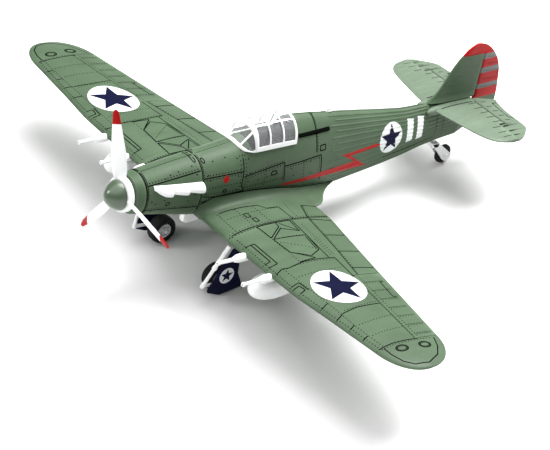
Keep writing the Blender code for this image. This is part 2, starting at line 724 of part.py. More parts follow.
def build_power(root):
    """Firewall mount, coreless motor, cell, receiver and servos inside the shells."""
    disc = turned([(46.6, 9.4), (48.0, 9.4)], (0, 0, 0), (0, 1, 0), 24)
    mount = new_object("motor_mount", disc, black(), root)
    can = [(28.0, 0.0), (28.0, 1.4), (24.0, 1.4), (24.0, 5.2), (25.0, 6.2), (46.3, 6.2), (46.3, 0.0)]
    motor = new_object("motor", turned(can, (0, 0, 0), (0, 1, 0), 24), steel(), root)
    cell = new_object("battery", block((-7.5, 66.0, -10.5), (7.5, 95.0, -2.5)), black(), root, smooth=False)
    board = new_object("receiver_board", block((-8.0, 134.5, -8.0), (8.0, 154.0, -6.0)),
                       material("circuit_green", (0.02, 0.12, 0.05), 0.5), root, smooth=False)
    pieces = [mount, motor, cell, board]
    servos = (("rudder_servo", (0.4, 158.0, -6.0), (6.8, 170.0, 2.0)),
              ("elevator_servo", (-6.8, 158.0, -6.0), (-0.4, 170.0, 2.0)),
              ("aileron_servo", (-4.0, 104.0, -9.3), (4.0, 116.0, -2.5)))
    for name, low, high in servos:
        pieces.append(new_object(name, block(low, high), black(), root, smooth=False))
    return pieces


# ---------------------------------------------------------------- under-wing stores
def build_cannon(root, side, label, x):
    """Cannon barrel with a fat fairing that butts on the leading edge."""
    le = wing_edges(x)[0]
    z = interpolate(WING_Z, x) - 0.6
    profile = [(0, 0.0), (0, 1.1), (0.6, 1.4), (13.0, 1.4), (15.0, 2.5), (20.0, 2.7)]
    length = le - 0.35 - 43.0
    profile += [(length, 2.4), (length, 0.0)]
    return new_object(f"cannon_{label}", turned(profile, (side * x, 43.0, z), (0, 1, 0), 12), white(), root)


def build_tank(root, side, label):
    """Teardrop drop tank with its pylon, fused as one moulding."""
    x, nose, tail, z, radius = 75.0, 57.0, 112.0, -33.0, 9.6
    profile = []
    for k in range(15):
        share = k / 14
        profile.append((nose + (tail - nose) * share,
                        radius * (math.sin(math.pi * share ** 0.62)) ** 0.7 if 0 < k < 14 else 0.0))
    tank = new_object(f"drop_tank_{label}", turned(profile, (side * x, 0, z), (0, 1, 0), 20), white(), root)
    foot = []
    for y in (74.0, 78.0, 88.0, 94.0):
        half = 1.8 if 75 < y < 92 else 0.8
        top = wing_surface(x, y)[1] - GAP - 0.1
        foot.append([(side * x - half, y, -30.0), (side * x + half, y, -30.0),
                     (side * x + half, y, top), (side * x - half, y, top)])
    return combine(tank, tool(f"pylon_{label}", loft(foot), root), "UNION")


def build_belly_pieces(root):
    bath = []
    pad = STAND_PAD[2]
    for y, half, low in ((98.0, 8.0, -33.5), (101.0, 9.0, pad), (118.0, 9.0, pad), (134.0, 6.0, -29.5)):
        high = station(y)[2] - GAP
        ring = [(-half, y, high), (-half, y, low + 2.5), (-half + 2.5, y, low), (half - 2.5, y, low),
                (half, y, low + 2.5), (half, y, high)]
        bath.append([(x, yy, min(z, belly_z(yy, x) - GAP) if z == high else z) for x, yy, z in ring])
    radiator = new_object("radiator_bath", loft(bath), green(), root)
    mouth = block((-6.6, 97.0, -33.4), (6.6, 103.0, -28.4))
    combine(radiator, tool("radiator_mouth", mouth, root))
    scoop = []
    for y, half, low in ((63.4, 2.4, -31.8), (66.0, 3.2, -32.8), (75.0, 3.2, -31.2), (84.0, 1.4, -27.0)):
        high = belly_z(y, half) - GAP
        scoop.append([(-half, y, high), (-half, y, low + 1.0), (-half + 1.0, y, low), (half - 1.0, y, low),
                      (half, y, low + 1.0), (half, y, high)])
    return radiator, new_object("air_scoop", loft(scoop), white(), root)


def belly_z(y, x):
    """Height of the belly's underside at (x, y), a little below its facets."""
    half, _, bottom = station(y)
    return bottom * (1.0 - (abs(x) / half) ** 2.3) ** (1.0 / 2.3) - 0.15


# ---------------------------------------------------------------- undercarriage
def build_gear(root, side, label):
    """Oleo leg with its trailing axle arm, the door plate, and the wheel."""
    foot = (side * 36.0, 58.6, -54.4)
    head = (side * 43.4, 66.6, -22.6)
    leg = new_object(f"gear_leg_{label}", rod(head, foot, 1.5), white(), root)
    arm = rod((side * 36.0, 58.6, -54.4), (side * 36.0, WHEEL_Y, WHEEL_Z), 1.1)
    combine(leg, tool(f"axle_arm_{label}", arm, root), "UNION")
    axle = rod((side * 36.4, WHEEL_Y, WHEEL_Z), (side * 23.6, WHEEL_Y, WHEEL_Z), 1.0)
    combine(leg, tool(f"axle_{label}", axle, root), "UNION")

    outline = [(60.5, -56.6), (74.5, -30.0), (82.0, -28.5), (81.8, -38.5), (82.5, -48.1), (87.5, -57.8),
               (80.5, -60.2), (70.4, -61.6)]
    plate = prism(outline, "X", side * 38.2, side * 39.2)
    door = new_object(f"gear_door_{label}", plate, navy(), root, smooth=False)

    half = WHEEL_W / 2
    bead = 4.9
    profile = []
    for k in range(12):
        a = 2 * math.pi * k / 12
        across = math.copysign(abs(math.cos(a)) ** 0.7, math.cos(a))
        outward = math.copysign(abs(math.sin(a)) ** 0.7, math.sin(a))
        profile.append((half * across, (WHEEL_R + bead) / 2 + (WHEEL_R - bead) / 2 * outward))
    centre = (side * WHEEL_X, WHEEL_Y, WHEEL_Z)
    ring = turned(profile, centre, (1, 0, 0), 32, closed=True)
    tyre = new_object(f"main_tyre_{label}", ring, rubber(), root)
    rim = bead - GAP
    hub_profile = [(-3.4, 1.25), (-3.4, rim), (3.4, rim), (3.4, 1.25)]
    hub = new_object(f"main_hub_{label}", turned(hub_profile, centre, (1, 0, 0), 24, closed=True),
                     material("hub_grey", (0.4, 0.41, 0.43), 0.4), root)
    for k in range(5):
        a = 2 * math.pi * k / 5
        hole_y, hole_z = WHEEL_Y + 3.0 * math.cos(a), WHEEL_Z + 3.0 * math.sin(a)
        hole = rod((side * (WHEEL_X - 9), hole_y, hole_z), (side * (WHEEL_X + 9), hole_y, hole_z), 0.95, 8)
        combine(hub, tool(f"spoke_gap_{label}_{k}", hole, root))
    for piece in (tyre, hub):
        set_origin(piece, centre)
    return leg, door, tyre, hub


def build_tail_wheel(root):
    """Steering post with a two-sided fork, and a solid-tyred wheel between its arms."""
    y, z = TAIL_WHEEL_Y, TAIL_WHEEL_Z
    crown = (0.0, STEER_Y, -13.4)
    bridge = block((-3.7, STEER_Y - 2.6, -15.6), (3.7, STEER_Y + 3.0, -12.6))
    fork = new_object("tail_fork", bridge, white(), root)
    for side in (1, -1):
        arm = [(STEER_Y - 2.6, -13.0), (STEER_Y + 3.6, -13.0), (y + 3.8, z + 1.2), (y + 3.4, z - 2.4),
               (y + 1.2, z - 3.4), (y - 2.4, z - 2.8)]
        x0, x1 = (2.3, 3.7) if side > 0 else (-3.7, -2.3)
        combine(fork, tool(f"fork_arm_{side}", prism(arm, "X", x0, x1), root), "UNION")
    combine(fork, tool("steering_post", rod(crown, (0, STEER_Y, -6.0), 1.2), root), "UNION")
    combine(fork, tool("tail_axle", rod((-3.0, y, z), (3.0, y, z), 0.8), root), "UNION")
    set_origin(fork, (0.0, STEER_Y, -13.0))

    half, bead = TAIL_WHEEL_W / 2, 3.2
    flank, shoulder = (half, TAIL_WHEEL_R - 1.4), (half - 0.8, TAIL_WHEEL_R - 0.3)
    starboard = [(-half, bead), (-flank[0], flank[1]), (-shoulder[0], shoulder[1])]
    profile = starboard + [(0.0, TAIL_WHEEL_R), shoulder, flank, (half, bead)]
    tyre = new_object("tail_tyre", turned(profile, (0, y, z), (1, 0, 0), 24, closed=True), rubber(), root)
    hub_profile = [(-1.6, 1.05), (-1.6, bead - GAP), (1.6, bead - GAP), (1.6, 1.05)]
    hub = new_object("tail_hub", turned(hub_profile, (0, y, z), (1, 0, 0), 16, closed=True),
                     material("hub_grey", (0.4, 0.41, 0.43), 0.4), root)
    for piece in (tyre, hub):
        set_origin(piece, (0, y, z))
    return fork, tyre, hub


# ---------------------------------------------------------------- assembly
def stand_on_wheels(root):
    """Pitch the aeroplane onto its three wheels and centre its box over the origin."""
    run, rise = TAIL_WHEEL_Y - WHEEL_Y, TAIL_WHEEL_Z - WHEEL_Z
    pitch = math.atan2(rise, run) + math.asin((WHEEL_R - TAIL_WHEEL_R) / math.hypot(run, rise))
    root.rotation_euler = (-pitch, 0.0, 0.0)
    bpy.context.view_layer.update()
    depsgraph = bpy.context.evaluated_depsgraph_get()
    ys, zs = [], []
    for obj in bpy.data.objects:
        if obj.type == "MESH" and not obj.hide_render:
            mesh = obj.evaluated_get(depsgraph).data
            world = [obj.matrix_world @ v.co for v in mesh.vertices]
            ys += [p.y for p in world]
            zs += [p.z for p in world]
    root.location = (0.0, -(min(ys) + max(ys)) / 2, -min(zs))
    bpy.context.view_layer.update()


def build():
    clear_scene()
    root = bpy.data.objects.new("aeroplane", None)
    bpy.context.collection.objects.link(root)
    build_cowling(root)
    build_centre_section(root)
    build_tailplane(root)
    build_joiner(root)
    build_fin(root)
    build_rudder(root)
    build_hood(root)
    new_object("windscreen", screen_shell(0.0, 0.7), white(), root)
    build_cockpit(root)
    build_mast(root)
    build_propeller(root)
    build_power(root)
    build_belly_pieces(root)
    build_tail_wheel(root)
    for side, label in ((1, "left"), (-1, "right")):
        build_fuselage(root, side, label)
        build_exhaust(root, side, label)
        build_wing_panel(root, side, label)
        build_aileron(root, side, label)
        build_elevator(root, side, label)
        build_rail(root, side, label)
        build_cannon(root, side, f"{label}_inner", 60.8)
        build_cannon(root, side, f"{label}_outer", 85.5)
        build_tank(root, side, label)
        build_gear(root, side, label)
    stand_on_wheels(root)


build()
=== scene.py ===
"""Micro radio-controlled warbird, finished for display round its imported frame.

Shapes are drawn in the aeroplane's own axes (X to port, Y aft from the spinner's tip, Z up from
the thrust line, in millimetres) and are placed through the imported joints. Every smooth skin, panel
line, rivet and marking follows the same form functions, so they lie on each other exactly.
"""
import json
import math

import bmesh
import bpy
from bpy.props import FloatProperty, FloatVectorProperty, PointerProperty
from mathutils import Matrix, Vector

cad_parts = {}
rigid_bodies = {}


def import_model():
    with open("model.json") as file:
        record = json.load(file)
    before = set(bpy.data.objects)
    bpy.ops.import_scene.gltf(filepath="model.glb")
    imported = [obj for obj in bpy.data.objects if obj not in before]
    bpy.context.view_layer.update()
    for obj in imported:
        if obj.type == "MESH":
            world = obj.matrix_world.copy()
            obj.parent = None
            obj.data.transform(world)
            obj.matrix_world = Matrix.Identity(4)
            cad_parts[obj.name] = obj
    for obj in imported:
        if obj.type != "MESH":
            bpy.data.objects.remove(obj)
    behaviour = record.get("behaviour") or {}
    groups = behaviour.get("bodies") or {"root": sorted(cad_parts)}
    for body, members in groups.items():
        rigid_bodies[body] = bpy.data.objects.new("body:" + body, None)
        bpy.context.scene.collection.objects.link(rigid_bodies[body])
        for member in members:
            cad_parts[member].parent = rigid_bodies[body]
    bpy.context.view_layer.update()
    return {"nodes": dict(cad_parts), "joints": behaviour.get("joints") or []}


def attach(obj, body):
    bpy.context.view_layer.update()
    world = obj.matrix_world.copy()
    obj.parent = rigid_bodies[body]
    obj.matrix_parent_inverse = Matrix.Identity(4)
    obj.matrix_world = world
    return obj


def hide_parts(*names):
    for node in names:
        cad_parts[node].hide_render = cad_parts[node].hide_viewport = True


# a fresh file holds a cube, a lamp and a camera of its own
for leftover in list(bpy.data.objects):
    bpy.data.objects.remove(leftover, do_unlink=True)
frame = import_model()

bl_info = {
    "name": "Warbird Finisher",
    "version": (1, 0, 0),
    "blender": (4, 5, 0),
    "location": "3D View > Sidebar > Warbird",
    "description": "Builds the finished skins, markings and running gear of a small warbird model",
    "category": "Object",
}

MM = 0.001
GAP = 0.3                      # clearance between touching pieces
SEAT = 0.1                     # how far off the hull a piece on it starts
HINGE_PLAY = 0.45              # open slot ahead of a moving surface
WALL = 1.2                     # thickness of the moulded shells
HALF_SPAN = 200.0
PROP_Y = 12.4                  # station of the propeller's disc

# wing tables run outboard: edges, height of the middle, and thickness as a share of the chord
ROOT_X, TIP_X = 44.6, 176.0
WING_LE = ((0.0, 63.2), (109.0, 63.2), (135.0, 66.0), (176.0, 69.4), (200.0, 71.4))
WING_TE = ((0.0, 143.5), (46.4, 142.5), (108.0, 129.7), (176.0, 116.4), (200.0, 111.8))
WING_Z = ((0.0, -17.8), (46.4, -17.8), (200.0, -14.4))
WING_THICK = ((0.0, 0.125), (46.4, 0.125), (176.0, 0.105), (200.0, 0.10))
WING_CAMBER = 0.07
WING_EDGE = 0.28               # half thickness of the trailing edge
TIP_POWER, TIP_MIDDLE = 2.3, 0.46
AEROFOIL_NOSE = 0.2969
AEROFOIL_BODY = (-0.126, -0.3516, 0.2843, -0.1036)
AILERON_X = (109.0, 175.2)
AILERON_HINGE = ((109.0, 109.3), (176.0, 100.4))
# root fillets run aft: how far out they reach over the wing, and how high up the hull
FILLET_REACH = ((63.4, 16.6), (66.0, 19.4), (72.0, 21.6), (90.0, 22.6), (106.0, 23.6), (116.0, 25.8),
                (128.0, 28.4), (138.0, 30.4), (144.0, 31.2), (149.0, 30.0), (153.0, 26.6), (157.0, 22.0),
                (161.0, 18.4), (168.0, 13.4), (177.0, 9.0))
FILLET_CREST = ((63.4, -9.9), (72.7, -5.8), (93.2, -5.7), (121.3, -8.8), (142.0, -13.2), (163.5, -16.6),
                (177.0, -18.4))

TAIL_Z, TAIL_THICK, TAIL_SPAN = 16.1, 4.2, 56.6
TAIL_HINGE_Y, RUDDER_HINGE_Y = 293.6, 297.2
HORN_X, HORN_HALF, RUDDER_HALF = 37.4, 0.8, 1.3
FIN_REAR = RUDDER_HINGE_Y - RUDDER_HALF - HINGE_PLAY
TAILPLANE_LE = ((0.0, 256.0), (12.3, 257.5), (21.5, 259.4), (31.7, 261.6), (41.7, 264.2),
                (49.7, 268.0), (54.4, 274.6), (56.4, 283.0))
ELEVATOR_TE = ((3.0, 310.8), (25.0, 305.4), (43.0, 304.6), (50.0, 298.5), (54.5, 291.5), (56.4, 285.0))
FIN_LE = ((19.2, 254.0), (26.6, 262.0), (36.3, 267.4), (44.0, 271.8), (49.4, 276.0))
RUDDER_TE = ((-6.0, 309.0), (0.0, 314.5), (12.4, 317.8), (20.0, 317.2), (27.5, 315.9), (34.1, 314.6),
             (42.8, 310.7), (50.2, 304.6), (56.0, 296.5), (57.5, 290.5))
RUDDER_TAPER = ((0.0, 1.0), (45.0, 1.0), (57.5, 0.55))

# fuselage stations: Y, half width, top and bottom
KEEL_POWER = 2.3
STATIONS = ((13.0, 11.4, 11.4, -11.4), (22.0, 12.5, 13.0, -13.7), (42.0, 13.9, 15.7, -18.0),
            (63.0, 15.0, 18.2, -22.6), (90.0, 16.2, 21.4, -25.0), (98.0, 16.3, 23.4, -25.2),
            (103.0, 16.3, 29.0, -25.4), (112.0, 16.3, 31.4, -25.5), (134.0, 16.2, 31.9, -25.6),
            (153.0, 15.2, 30.2, -25.4), (171.0, 13.8, 27.6, -24.0), (196.0, 11.9, 24.1, -21.2),
            (216.0, 10.3, 21.2, -18.6), (238.0, 8.3, 18.9, -15.2), (254.0, 6.7, 18.9, -12.0),
            (272.0, 4.8, 18.9, -10.0), (286.0, 3.3, 18.9, -9.2), (293.4, 2.4, 18.9, -6.0))

SILL_Z, HOOD_POWER = 18.6, 2.3
SCREEN_Y, HOOD_FRONT, HOOD_REAR = 90.6, 100.6, 132.6
HOOD_HALF, HOOD_BASE, ARCH_Z = 13.3, 17.4, 34.0
WHEEL_X, WHEEL_Y, WHEEL_Z, WHEEL_R, WHEEL_W = 28.9, 74.7, -55.2, 9.2, 8.2
LEG_X = 36.0
TAIL_WHEEL_Y, TAIL_WHEEL_Z, TAIL_WHEEL_R, TAIL_WHEEL_W = 281.6, -24.2, 6.7, 3.4
STEER_Y = 269.0                # station of the tail wheel's steering post
PROP_R, HUB_R = 50.8, 11.0
BLADE_ANGLES = (-21.8, 98.2, 218.2)


def joint(name):
    """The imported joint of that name."""
    return next(j for j in frame["joints"] if j["name"] == name)


PORT = Vector((1.0, 0.0, 0.0))
AFT = Vector(joint("prop_spin")["axis"]).normalized()
UP = Vector(joint("rudder_hinge")["axis"]).normalized()
NOSE = Vector(joint("prop_spin")["pos_m"]) - AFT * PROP_Y * MM


def place(p):
    """A point of the aeroplane's own axes, in the frame's metres."""
    return NOSE + (PORT * p[0] + AFT * p[1] + UP * p[2]) * MM


# ---------------------------------------------------------------- settings
class WarbirdColours(bpy.types.PropertyGroup):
    """Paints and plastics of the model, with a lighter tail green that paints the brighter light falling on
    the tail.
    """
    green: FloatVectorProperty(name="Camouflage green", description="Moulded green of the skins",
                               subtype="COLOR", default=(0.062, 0.098, 0.057), min=0.0, max=1.0)
    # the tail green is the camouflage green made lighter: painted light for the stronger light that falls
    # on the tailplane and elevators
    tail: FloatVectorProperty(name="Tail green", description="Paler green of the tailplane and elevators",
                              subtype="COLOR", default=(0.105, 0.145, 0.100), min=0.0, max=1.0)
    line: FloatVectorProperty(name="Panel line", description="Dark wash in panel lines and rivets",
                              subtype="COLOR", default=(0.003, 0.004, 0.003), min=0.0, max=1.0)
    white: FloatVectorProperty(name="White plastic", description="Frames, stores, stubs and legs",
                               subtype="COLOR", default=(0.86, 0.87, 0.87), min=0.0, max=1.0)
    red: FloatVectorProperty(name="Red paint", description="Flash, stripes and blade tips",
                             subtype="COLOR", default=(0.34, 0.004, 0.004), min=0.0, max=1.0)
    navy: FloatVectorProperty(name="Navy paint", description="Stars and wheel doors",
                              subtype="COLOR", default=(0.003, 0.004, 0.022), min=0.0, max=1.0)
    stripe: FloatVectorProperty(name="Rudder grey", description="Pale stripes between the red ones",
                                subtype="COLOR", default=(0.15, 0.155, 0.15), min=0.0, max=1.0)


class WarbirdSizes(bpy.types.PropertyGroup):
    """Sizes of the surface detail, in metres."""
    line_width: FloatProperty(name="Panel line width", description="Width of a panel line",
                              default=0.00074, min=0.0001, max=0.002, unit="LENGTH")
    rivet_radius: FloatProperty(name="Rivet radius", description="Radius of one rivet head",
                                default=0.00044, min=0.0001, max=0.001, unit="LENGTH")
    rivet_pitch: FloatProperty(name="Rivet pitch", description="Distance between rivets in a row",
                               default=0.0022, min=0.0008, max=0.01, unit="LENGTH")
    disc_radius: FloatProperty(name="Wing disc radius", description="Radius of the wing markings",
                               default=0.0170, min=0.005, max=0.03, unit="LENGTH")


def colours():
    return bpy.context.scene.warbird_colours


def sizes():
    return bpy.context.scene.warbird_sizes


# ---------------------------------------------------------------- materials
STREAK_SCALE, STREAK_STRETCH = 70.0, (1.6, 0.22, 1.0)
WEAR_FROM, WEAR_TO, WEAR_LIGHTER = 0.53, 0.60, 1.9


def node_material(name, rgb, rough=0.5, metal=0.0, mottle=0.12, mottle_scale=55.0, grain=0.06,
                  grain_scale=900.0, bump=0.05, bump_depth=0.00003, wear=0.0, streaks=0.0,
                  coat=0.0, specular=0.5):
    """Painted or moulded finish: mottling, fine grain, streaks, worn edges and a grained surface."""
    mat = bpy.data.materials.get(name)
    if mat is not None:
        return mat
    mat = bpy.data.materials.new(name)
    mat.use_nodes = True
    tree = mat.node_tree
    new, link = tree.nodes.new, tree.links.new
    shader = tree.nodes["Principled BSDF"]
    shader.inputs["Metallic"].default_value = metal
    shader.inputs["Coat Weight"].default_value = coat
    shader.inputs["Specular IOR Level"].default_value = specular
    where = new("ShaderNodeTexCoord").outputs["Object"]

    def noise(scale, detail, stretch=None):
        texture = new("ShaderNodeTexNoise")
        texture.inputs["Scale"].default_value = scale
        texture.inputs["Detail"].default_value = detail
        texture.inputs["Roughness"].default_value = 0.6
        if stretch is None:
            link(where, texture.inputs["Vector"])
        else:
            mapping = new("ShaderNodeMapping")
            mapping.inputs["Scale"].default_value = stretch
            link(where, mapping.inputs["Vector"])
            link(mapping.outputs["Vector"], texture.inputs["Vector"])
        return texture.outputs["Fac"]

    def spread(value, low, high):
        """Map a noise's middle range onto low..high."""
        shift = new("ShaderNodeMapRange")
        shift.inputs["From Min"].default_value = 0.3
        shift.inputs["From Max"].default_value = 0.7
        shift.inputs["To Min"].default_value = low
        shift.inputs["To Max"].default_value = high
        link(value, shift.inputs["Value"])
        return shift.outputs["Result"]

    def multiply(a, b):
        node = new("ShaderNodeMath")
        node.operation = "MULTIPLY"
        link(a, node.inputs[0])
        link(b, node.inputs[1])
        return node.outputs["Value"]

    clouds = noise(mottle_scale, 4.0)
    fine = noise(grain_scale, 3.0)
    level = multiply(spread(clouds, 1.0 - mottle, 1.0 + mottle), spread(fine, 1.0 - grain, 1.0 + grain))
    if streaks > 0.0:
        run = noise(STREAK_SCALE, 3.0, STREAK_STRETCH)
        level = multiply(level, spread(run, 1.0 - streaks, 1.0 + streaks))
    tint = new("ShaderNodeVectorMath")
    tint.operation = "SCALE"
    tint.inputs[0].default_value = rgb
    link(level, tint.inputs["Scale"])
    colour = tint.outputs["Vector"]
    if wear > 0.0:
        edges = new("ShaderNodeNewGeometry").outputs["Pointiness"]
        mask = new("ShaderNodeMapRange")
        mask.inputs["From Min"].default_value = WEAR_FROM
        mask.inputs["From Max"].default_value = WEAR_TO
        mask.inputs["To Max"].default_value = wear
        link(edges, mask.inputs["Value"])
        patchy = multiply(mask.outputs["Result"], spread(fine, 0.2, 1.0))
        rub = new("ShaderNodeMix")
        rub.data_type = "RGBA"
        rub.inputs["B"].default_value = (*[min(1.0, c * WEAR_LIGHTER + 0.03) for c in rgb], 1.0)
        link(patchy, rub.inputs["Factor"])
        link(colour, rub.inputs["A"])
        colour = rub.outputs["Result"]
    link(colour, shader.inputs["Base Color"])
    link(spread(clouds, rough - 0.07, rough + 0.08), shader.inputs["Roughness"])
    relief = new("ShaderNodeBump")
    relief.inputs["Strength"].default_value = bump
    relief.inputs["Distance"].default_value = bump_depth
    link(fine, relief.inputs["Height"])
    link(relief.outputs["Normal"], shader.inputs["Normal"])
    return mat


def green_skin():
    return node_material("green_skin", colours().green, rough=0.46, mottle=0.10, mottle_scale=42.0,
                         grain=0.07, bump=0.25, bump_depth=0.00006, wear=0.5, streaks=0.07, coat=0.02,
                         specular=0.13)


# tailplane, elevators, their fairings and ribs in the lighter tail green: painted light for the brighter
# light on the tail
def tail_skin_painted_light():
    return node_material("tail_skin_painted_light", colours().tail, rough=0.46, mottle=0.08, mottle_scale=42.0,
                         grain=0.07, bump=0.25, bump_depth=0.00006, wear=0.4, streaks=0.06, coat=0.02,
                         specular=0.15)


def spinner_skin():
    return node_material("spinner_skin", colours().green, rough=0.36, mottle=0.08, mottle_scale=60.0,
                         grain=0.06, bump=0.15, bump_depth=0.00006, wear=0.4, coat=0.5, specular=0.45)


def line_wash():
    return node_material("panel_line_wash", colours().line, rough=0.8, mottle=0.4, grain=0.3,
                         bump=0.1, specular=0.0)


def white_plastic():
    return node_material("white_gloss", colours().white, rough=0.34, mottle=0.025, grain=0.02,
                         bump=0.08, coat=0.3)


def red_paint():
    return node_material("red_satin", colours().red, rough=0.42, mottle=0.12, grain=0.06,
                         bump=0.12, coat=0.02, specular=0.1)


def navy_paint():
    return node_material("navy_satin", colours().navy, rough=0.38, mottle=0.15, grain=0.08,
                         bump=0.12, wear=0.15, specular=0.05)


def stripe_paint():
    return node_material("rudder_grey", colours().stripe, rough=0.48, mottle=0.06, grain=0.05,
                         bump=0.12, specular=0.1)


def decal_white():
    return node_material("decal_white", (0.66, 0.69, 0.69), rough=0.4, mottle=0.04, grain=0.03,
                         bump=0.06)


def black_plastic():
    return node_material("black_matt", (0.010, 0.011, 0.013), rough=0.52, mottle=0.2, grain=0.15,
                         bump=0.25, bump_depth=0.00006, wear=0.35)


def tyre_rubber():
    return node_material("tyre_rubber_worn", (0.007, 0.007, 0.008), rough=0.7, mottle=0.25,
                         mottle_scale=120.0, grain=0.3, bump=0.5, bump_depth=0.0001, wear=0.15,
                         specular=0.2)


def hub_metal():
    return node_material("hub_satin_grey", (0.56, 0.57, 0.59), rough=0.36, metal=0.3, mottle=0.08,
                         grain=0.08, bump=0.12, wear=0.5)


def bright_steel():
    return node_material("steel_drawn", (0.60, 0.60, 0.62), rough=0.28, metal=1.0, mottle=0.06,
                         grain=0.1, bump=0.15)


def circuit_green():
    return node_material("circuit_board", (0.02, 0.12, 0.05), rough=0.4, mottle=0.2, grain=0.2,
                         bump=0.2)


def clear_moulding():
    """Thin clear plastic: mostly see-through, with a faint tint, scuffs and a wavy surface."""
    mat = bpy.data.materials.get("canopy_clear")
    if mat is not None:
        return mat
    mat = node_material("canopy_clear", (0.90, 0.94, 0.95), rough=0.10, mottle=0.03, grain=0.02,
                        bump=0.06, bump_depth=0.0001, mottle_scale=160.0)
    shader = mat.node_tree.nodes["Principled BSDF"]
    shader.inputs["Alpha"].default_value = 0.09
    shader.inputs["IOR"].default_value = 1.49
    shader.inputs["Coat Weight"].default_value = 0.6
    return mat


# ---------------------------------------------------------------- mesh helpers
class Shape:
    """Points and faces of one piece, drawn in aeroplane millimetres."""

    def __init__(self):
        self.points = []
        self.faces = []
        self.tones = []

    def add(self, points):
        start = len(self.points)
        self.points += [tuple(p) for p in points]
        return range(start, start + len(points))

    def face(self, corners, tone=0):
        self.faces.append(tuple(corners))
        self.tones.append(tone)

    def loft(self, rings, wrap=True, loop=False, caps=True, tone=0):
        """Skin a row of rings; tone is a slot number, or a function of the ring's number."""
        rows = [self.add(ring) for ring in rings]
        pairs = list(zip(rows, rows[1:]))
        if loop:
            pairs.append((rows[-1], rows[0]))
        for k, (low, high) in enumerate(pairs):
            slot = tone(k) if callable(tone) else tone
            count = len(low)
            for i in range(count if wrap else count - 1):
                j = (i + 1) % count
                self.face((low[i], low[j], high[j], high[i]), slot)
        if caps and not loop:
            self.face(rows[0], tone(0) if callable(tone) else tone)
            self.face(reversed(rows[-1]), tone(len(pairs) - 1) if callable(tone) else tone)
        return self

    def turned(self, profile, centre, axis, segments=48, tone=0, loop=False):
        """Turn (along, radius) points round an axis."""
        centre, direction = Vector(centre), Vector(axis).normalized()
        side = direction.orthogonal().normalized()
        up = direction.cross(side)
        turns = circle(segments)
        rings = []
        for along, radius in profile:
            middle, reach = centre + direction * along, max(radius, 0.004)
            rings.append([middle + reach * (side * math.cos(a) + up * math.sin(a)) for a in turns])
        return self.loft(rings, loop=loop, tone=tone)

    def piece(self, name, body, materials, stands_for=(), slot=None, sharp=38.0, oriented=False):
        """Turn the shape into an object that rides on a body and stands for its CAD nodes."""
        mesh = bpy.data.meshes.new(name)
        mesh.from_pydata([place(p) for p in self.points], [], self.faces)
        for material in materials:
            mesh.materials.append(material)
        for polygon, tone in zip(mesh.polygons, self.tones):
            polygon.material_index = tone
        bm = bmesh.new()
        bm.from_mesh(mesh)
        bmesh.ops.dissolve_degenerate(bm, dist=1e-8, edges=bm.edges)
        if not oriented:
            bmesh.ops.recalc_face_normals(bm, faces=bm.faces)
        bm.to_mesh(mesh)
        bm.free()
        mesh.shade_smooth()
        mesh.set_sharp_from_angle(angle=math.radians(sharp))
        obj = bpy.data.objects.new(name, mesh)
        bpy.context.scene.collection.objects.link(obj)
        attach(obj, body)
        if stands_for:
            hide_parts(*stands_for)
        return obj


def cut(obj, cutter_rings, operation="DIFFERENCE"):
    """Cut a lofted block out of a piece, or join one to it, and apply the result."""
    tool = Shape().loft(cutter_rings)
    mesh = bpy.data.meshes.new("tool")
    mesh.from_pydata([place(p) for p in tool.points], [], tool.faces)
    bm = bmesh.new()
    bm.from_mesh(mesh)
    bmesh.ops.recalc_face_normals(bm, faces=bm.faces)
    bm.to_mesh(mesh)
    bm.free()
    block = bpy.data.objects.new("tool", mesh)
    bpy.context.scene.collection.objects.link(block)
    modifier = obj.modifiers.new("cut", "BOOLEAN")
    modifier.operation = operation
    modifier.solver = "EXACT"
    modifier.object = block
    depsgraph = bpy.context.evaluated_depsgraph_get()
    result = bpy.data.meshes.new_from_object(obj.evaluated_get(depsgraph), depsgraph=depsgraph)
    obj.modifiers.clear()
    old = obj.data
    obj.data = result
    result.name = old.name
    bpy.data.meshes.remove(old)
    bpy.data.objects.remove(block, do_unlink=True)
    bpy.data.meshes.remove(mesh)
    result.shade_smooth()
    result.set_sharp_from_angle(angle=math.radians(38.0))
    return obj


def block_rings(low, high):
    """Rings of a square-cornered block between two corners."""
    (x0, y0, z0), (x1, y1, z1) = low, high
    corners = ((x0, y0), (x1, y0), (x1, y1), (x0, y1))
    return [[(x, y, z0) for x, y in corners], [(x, y, z1) for x, y in corners]]


def side_cutter(outline, reach=40):
    """Rings of a block that has a (y, z) outline and runs right across."""
    return [[(x, y, z) for y, z in outline] for x in (-reach, reach)]


def span_steps(start, end, spacing):
    """Evenly spaced values from start to end, no further apart than spacing."""
    count = max(1, math.ceil(abs(end - start) / spacing))
    return [start + (end - start) * k / count for k in range(count + 1)]


def interpolate(table, x):
    """Straight-line reading of a table of (x, value) pairs."""
    if x <= table[0][0]:
        return table[0][1]
    for (x0, v0), (x1, v1) in zip(table, table[1:]):
        if x <= x1:
            return v0 + (v1 - v0) * (x - x0) / (x1 - x0)
    return table[-1][1]


def smooth_curve(table, x):
    """Rounded reading of a table of (x, value) pairs that never overshoots its values."""
    if x <= table[0][0]:
        return table[0][1]
    rises = [(b[1] - a[1]) / (b[0] - a[0]) for a, b in zip(table, table[1:])]
    inner = [2 * p * q / (p + q) if p * q > 0 else 0.0 for p, q in zip(rises, rises[1:])]
    slopes = [rises[0]] + inner + [rises[-1]]
    for k, ((x0, v0), (x1, v1)) in enumerate(zip(table, table[1:])):
        if x <= x1:
            span = x1 - x0
            t = (x - x0) / span
            ends = v0 * (1 + 2 * t) * (1 - t) ** 2 + v1 * t * t * (3 - 2 * t)
            return ends + span * (slopes[k] * t * (1 - t) ** 2 - slopes[k + 1] * t * t * (1 - t))
    return table[-1][1]


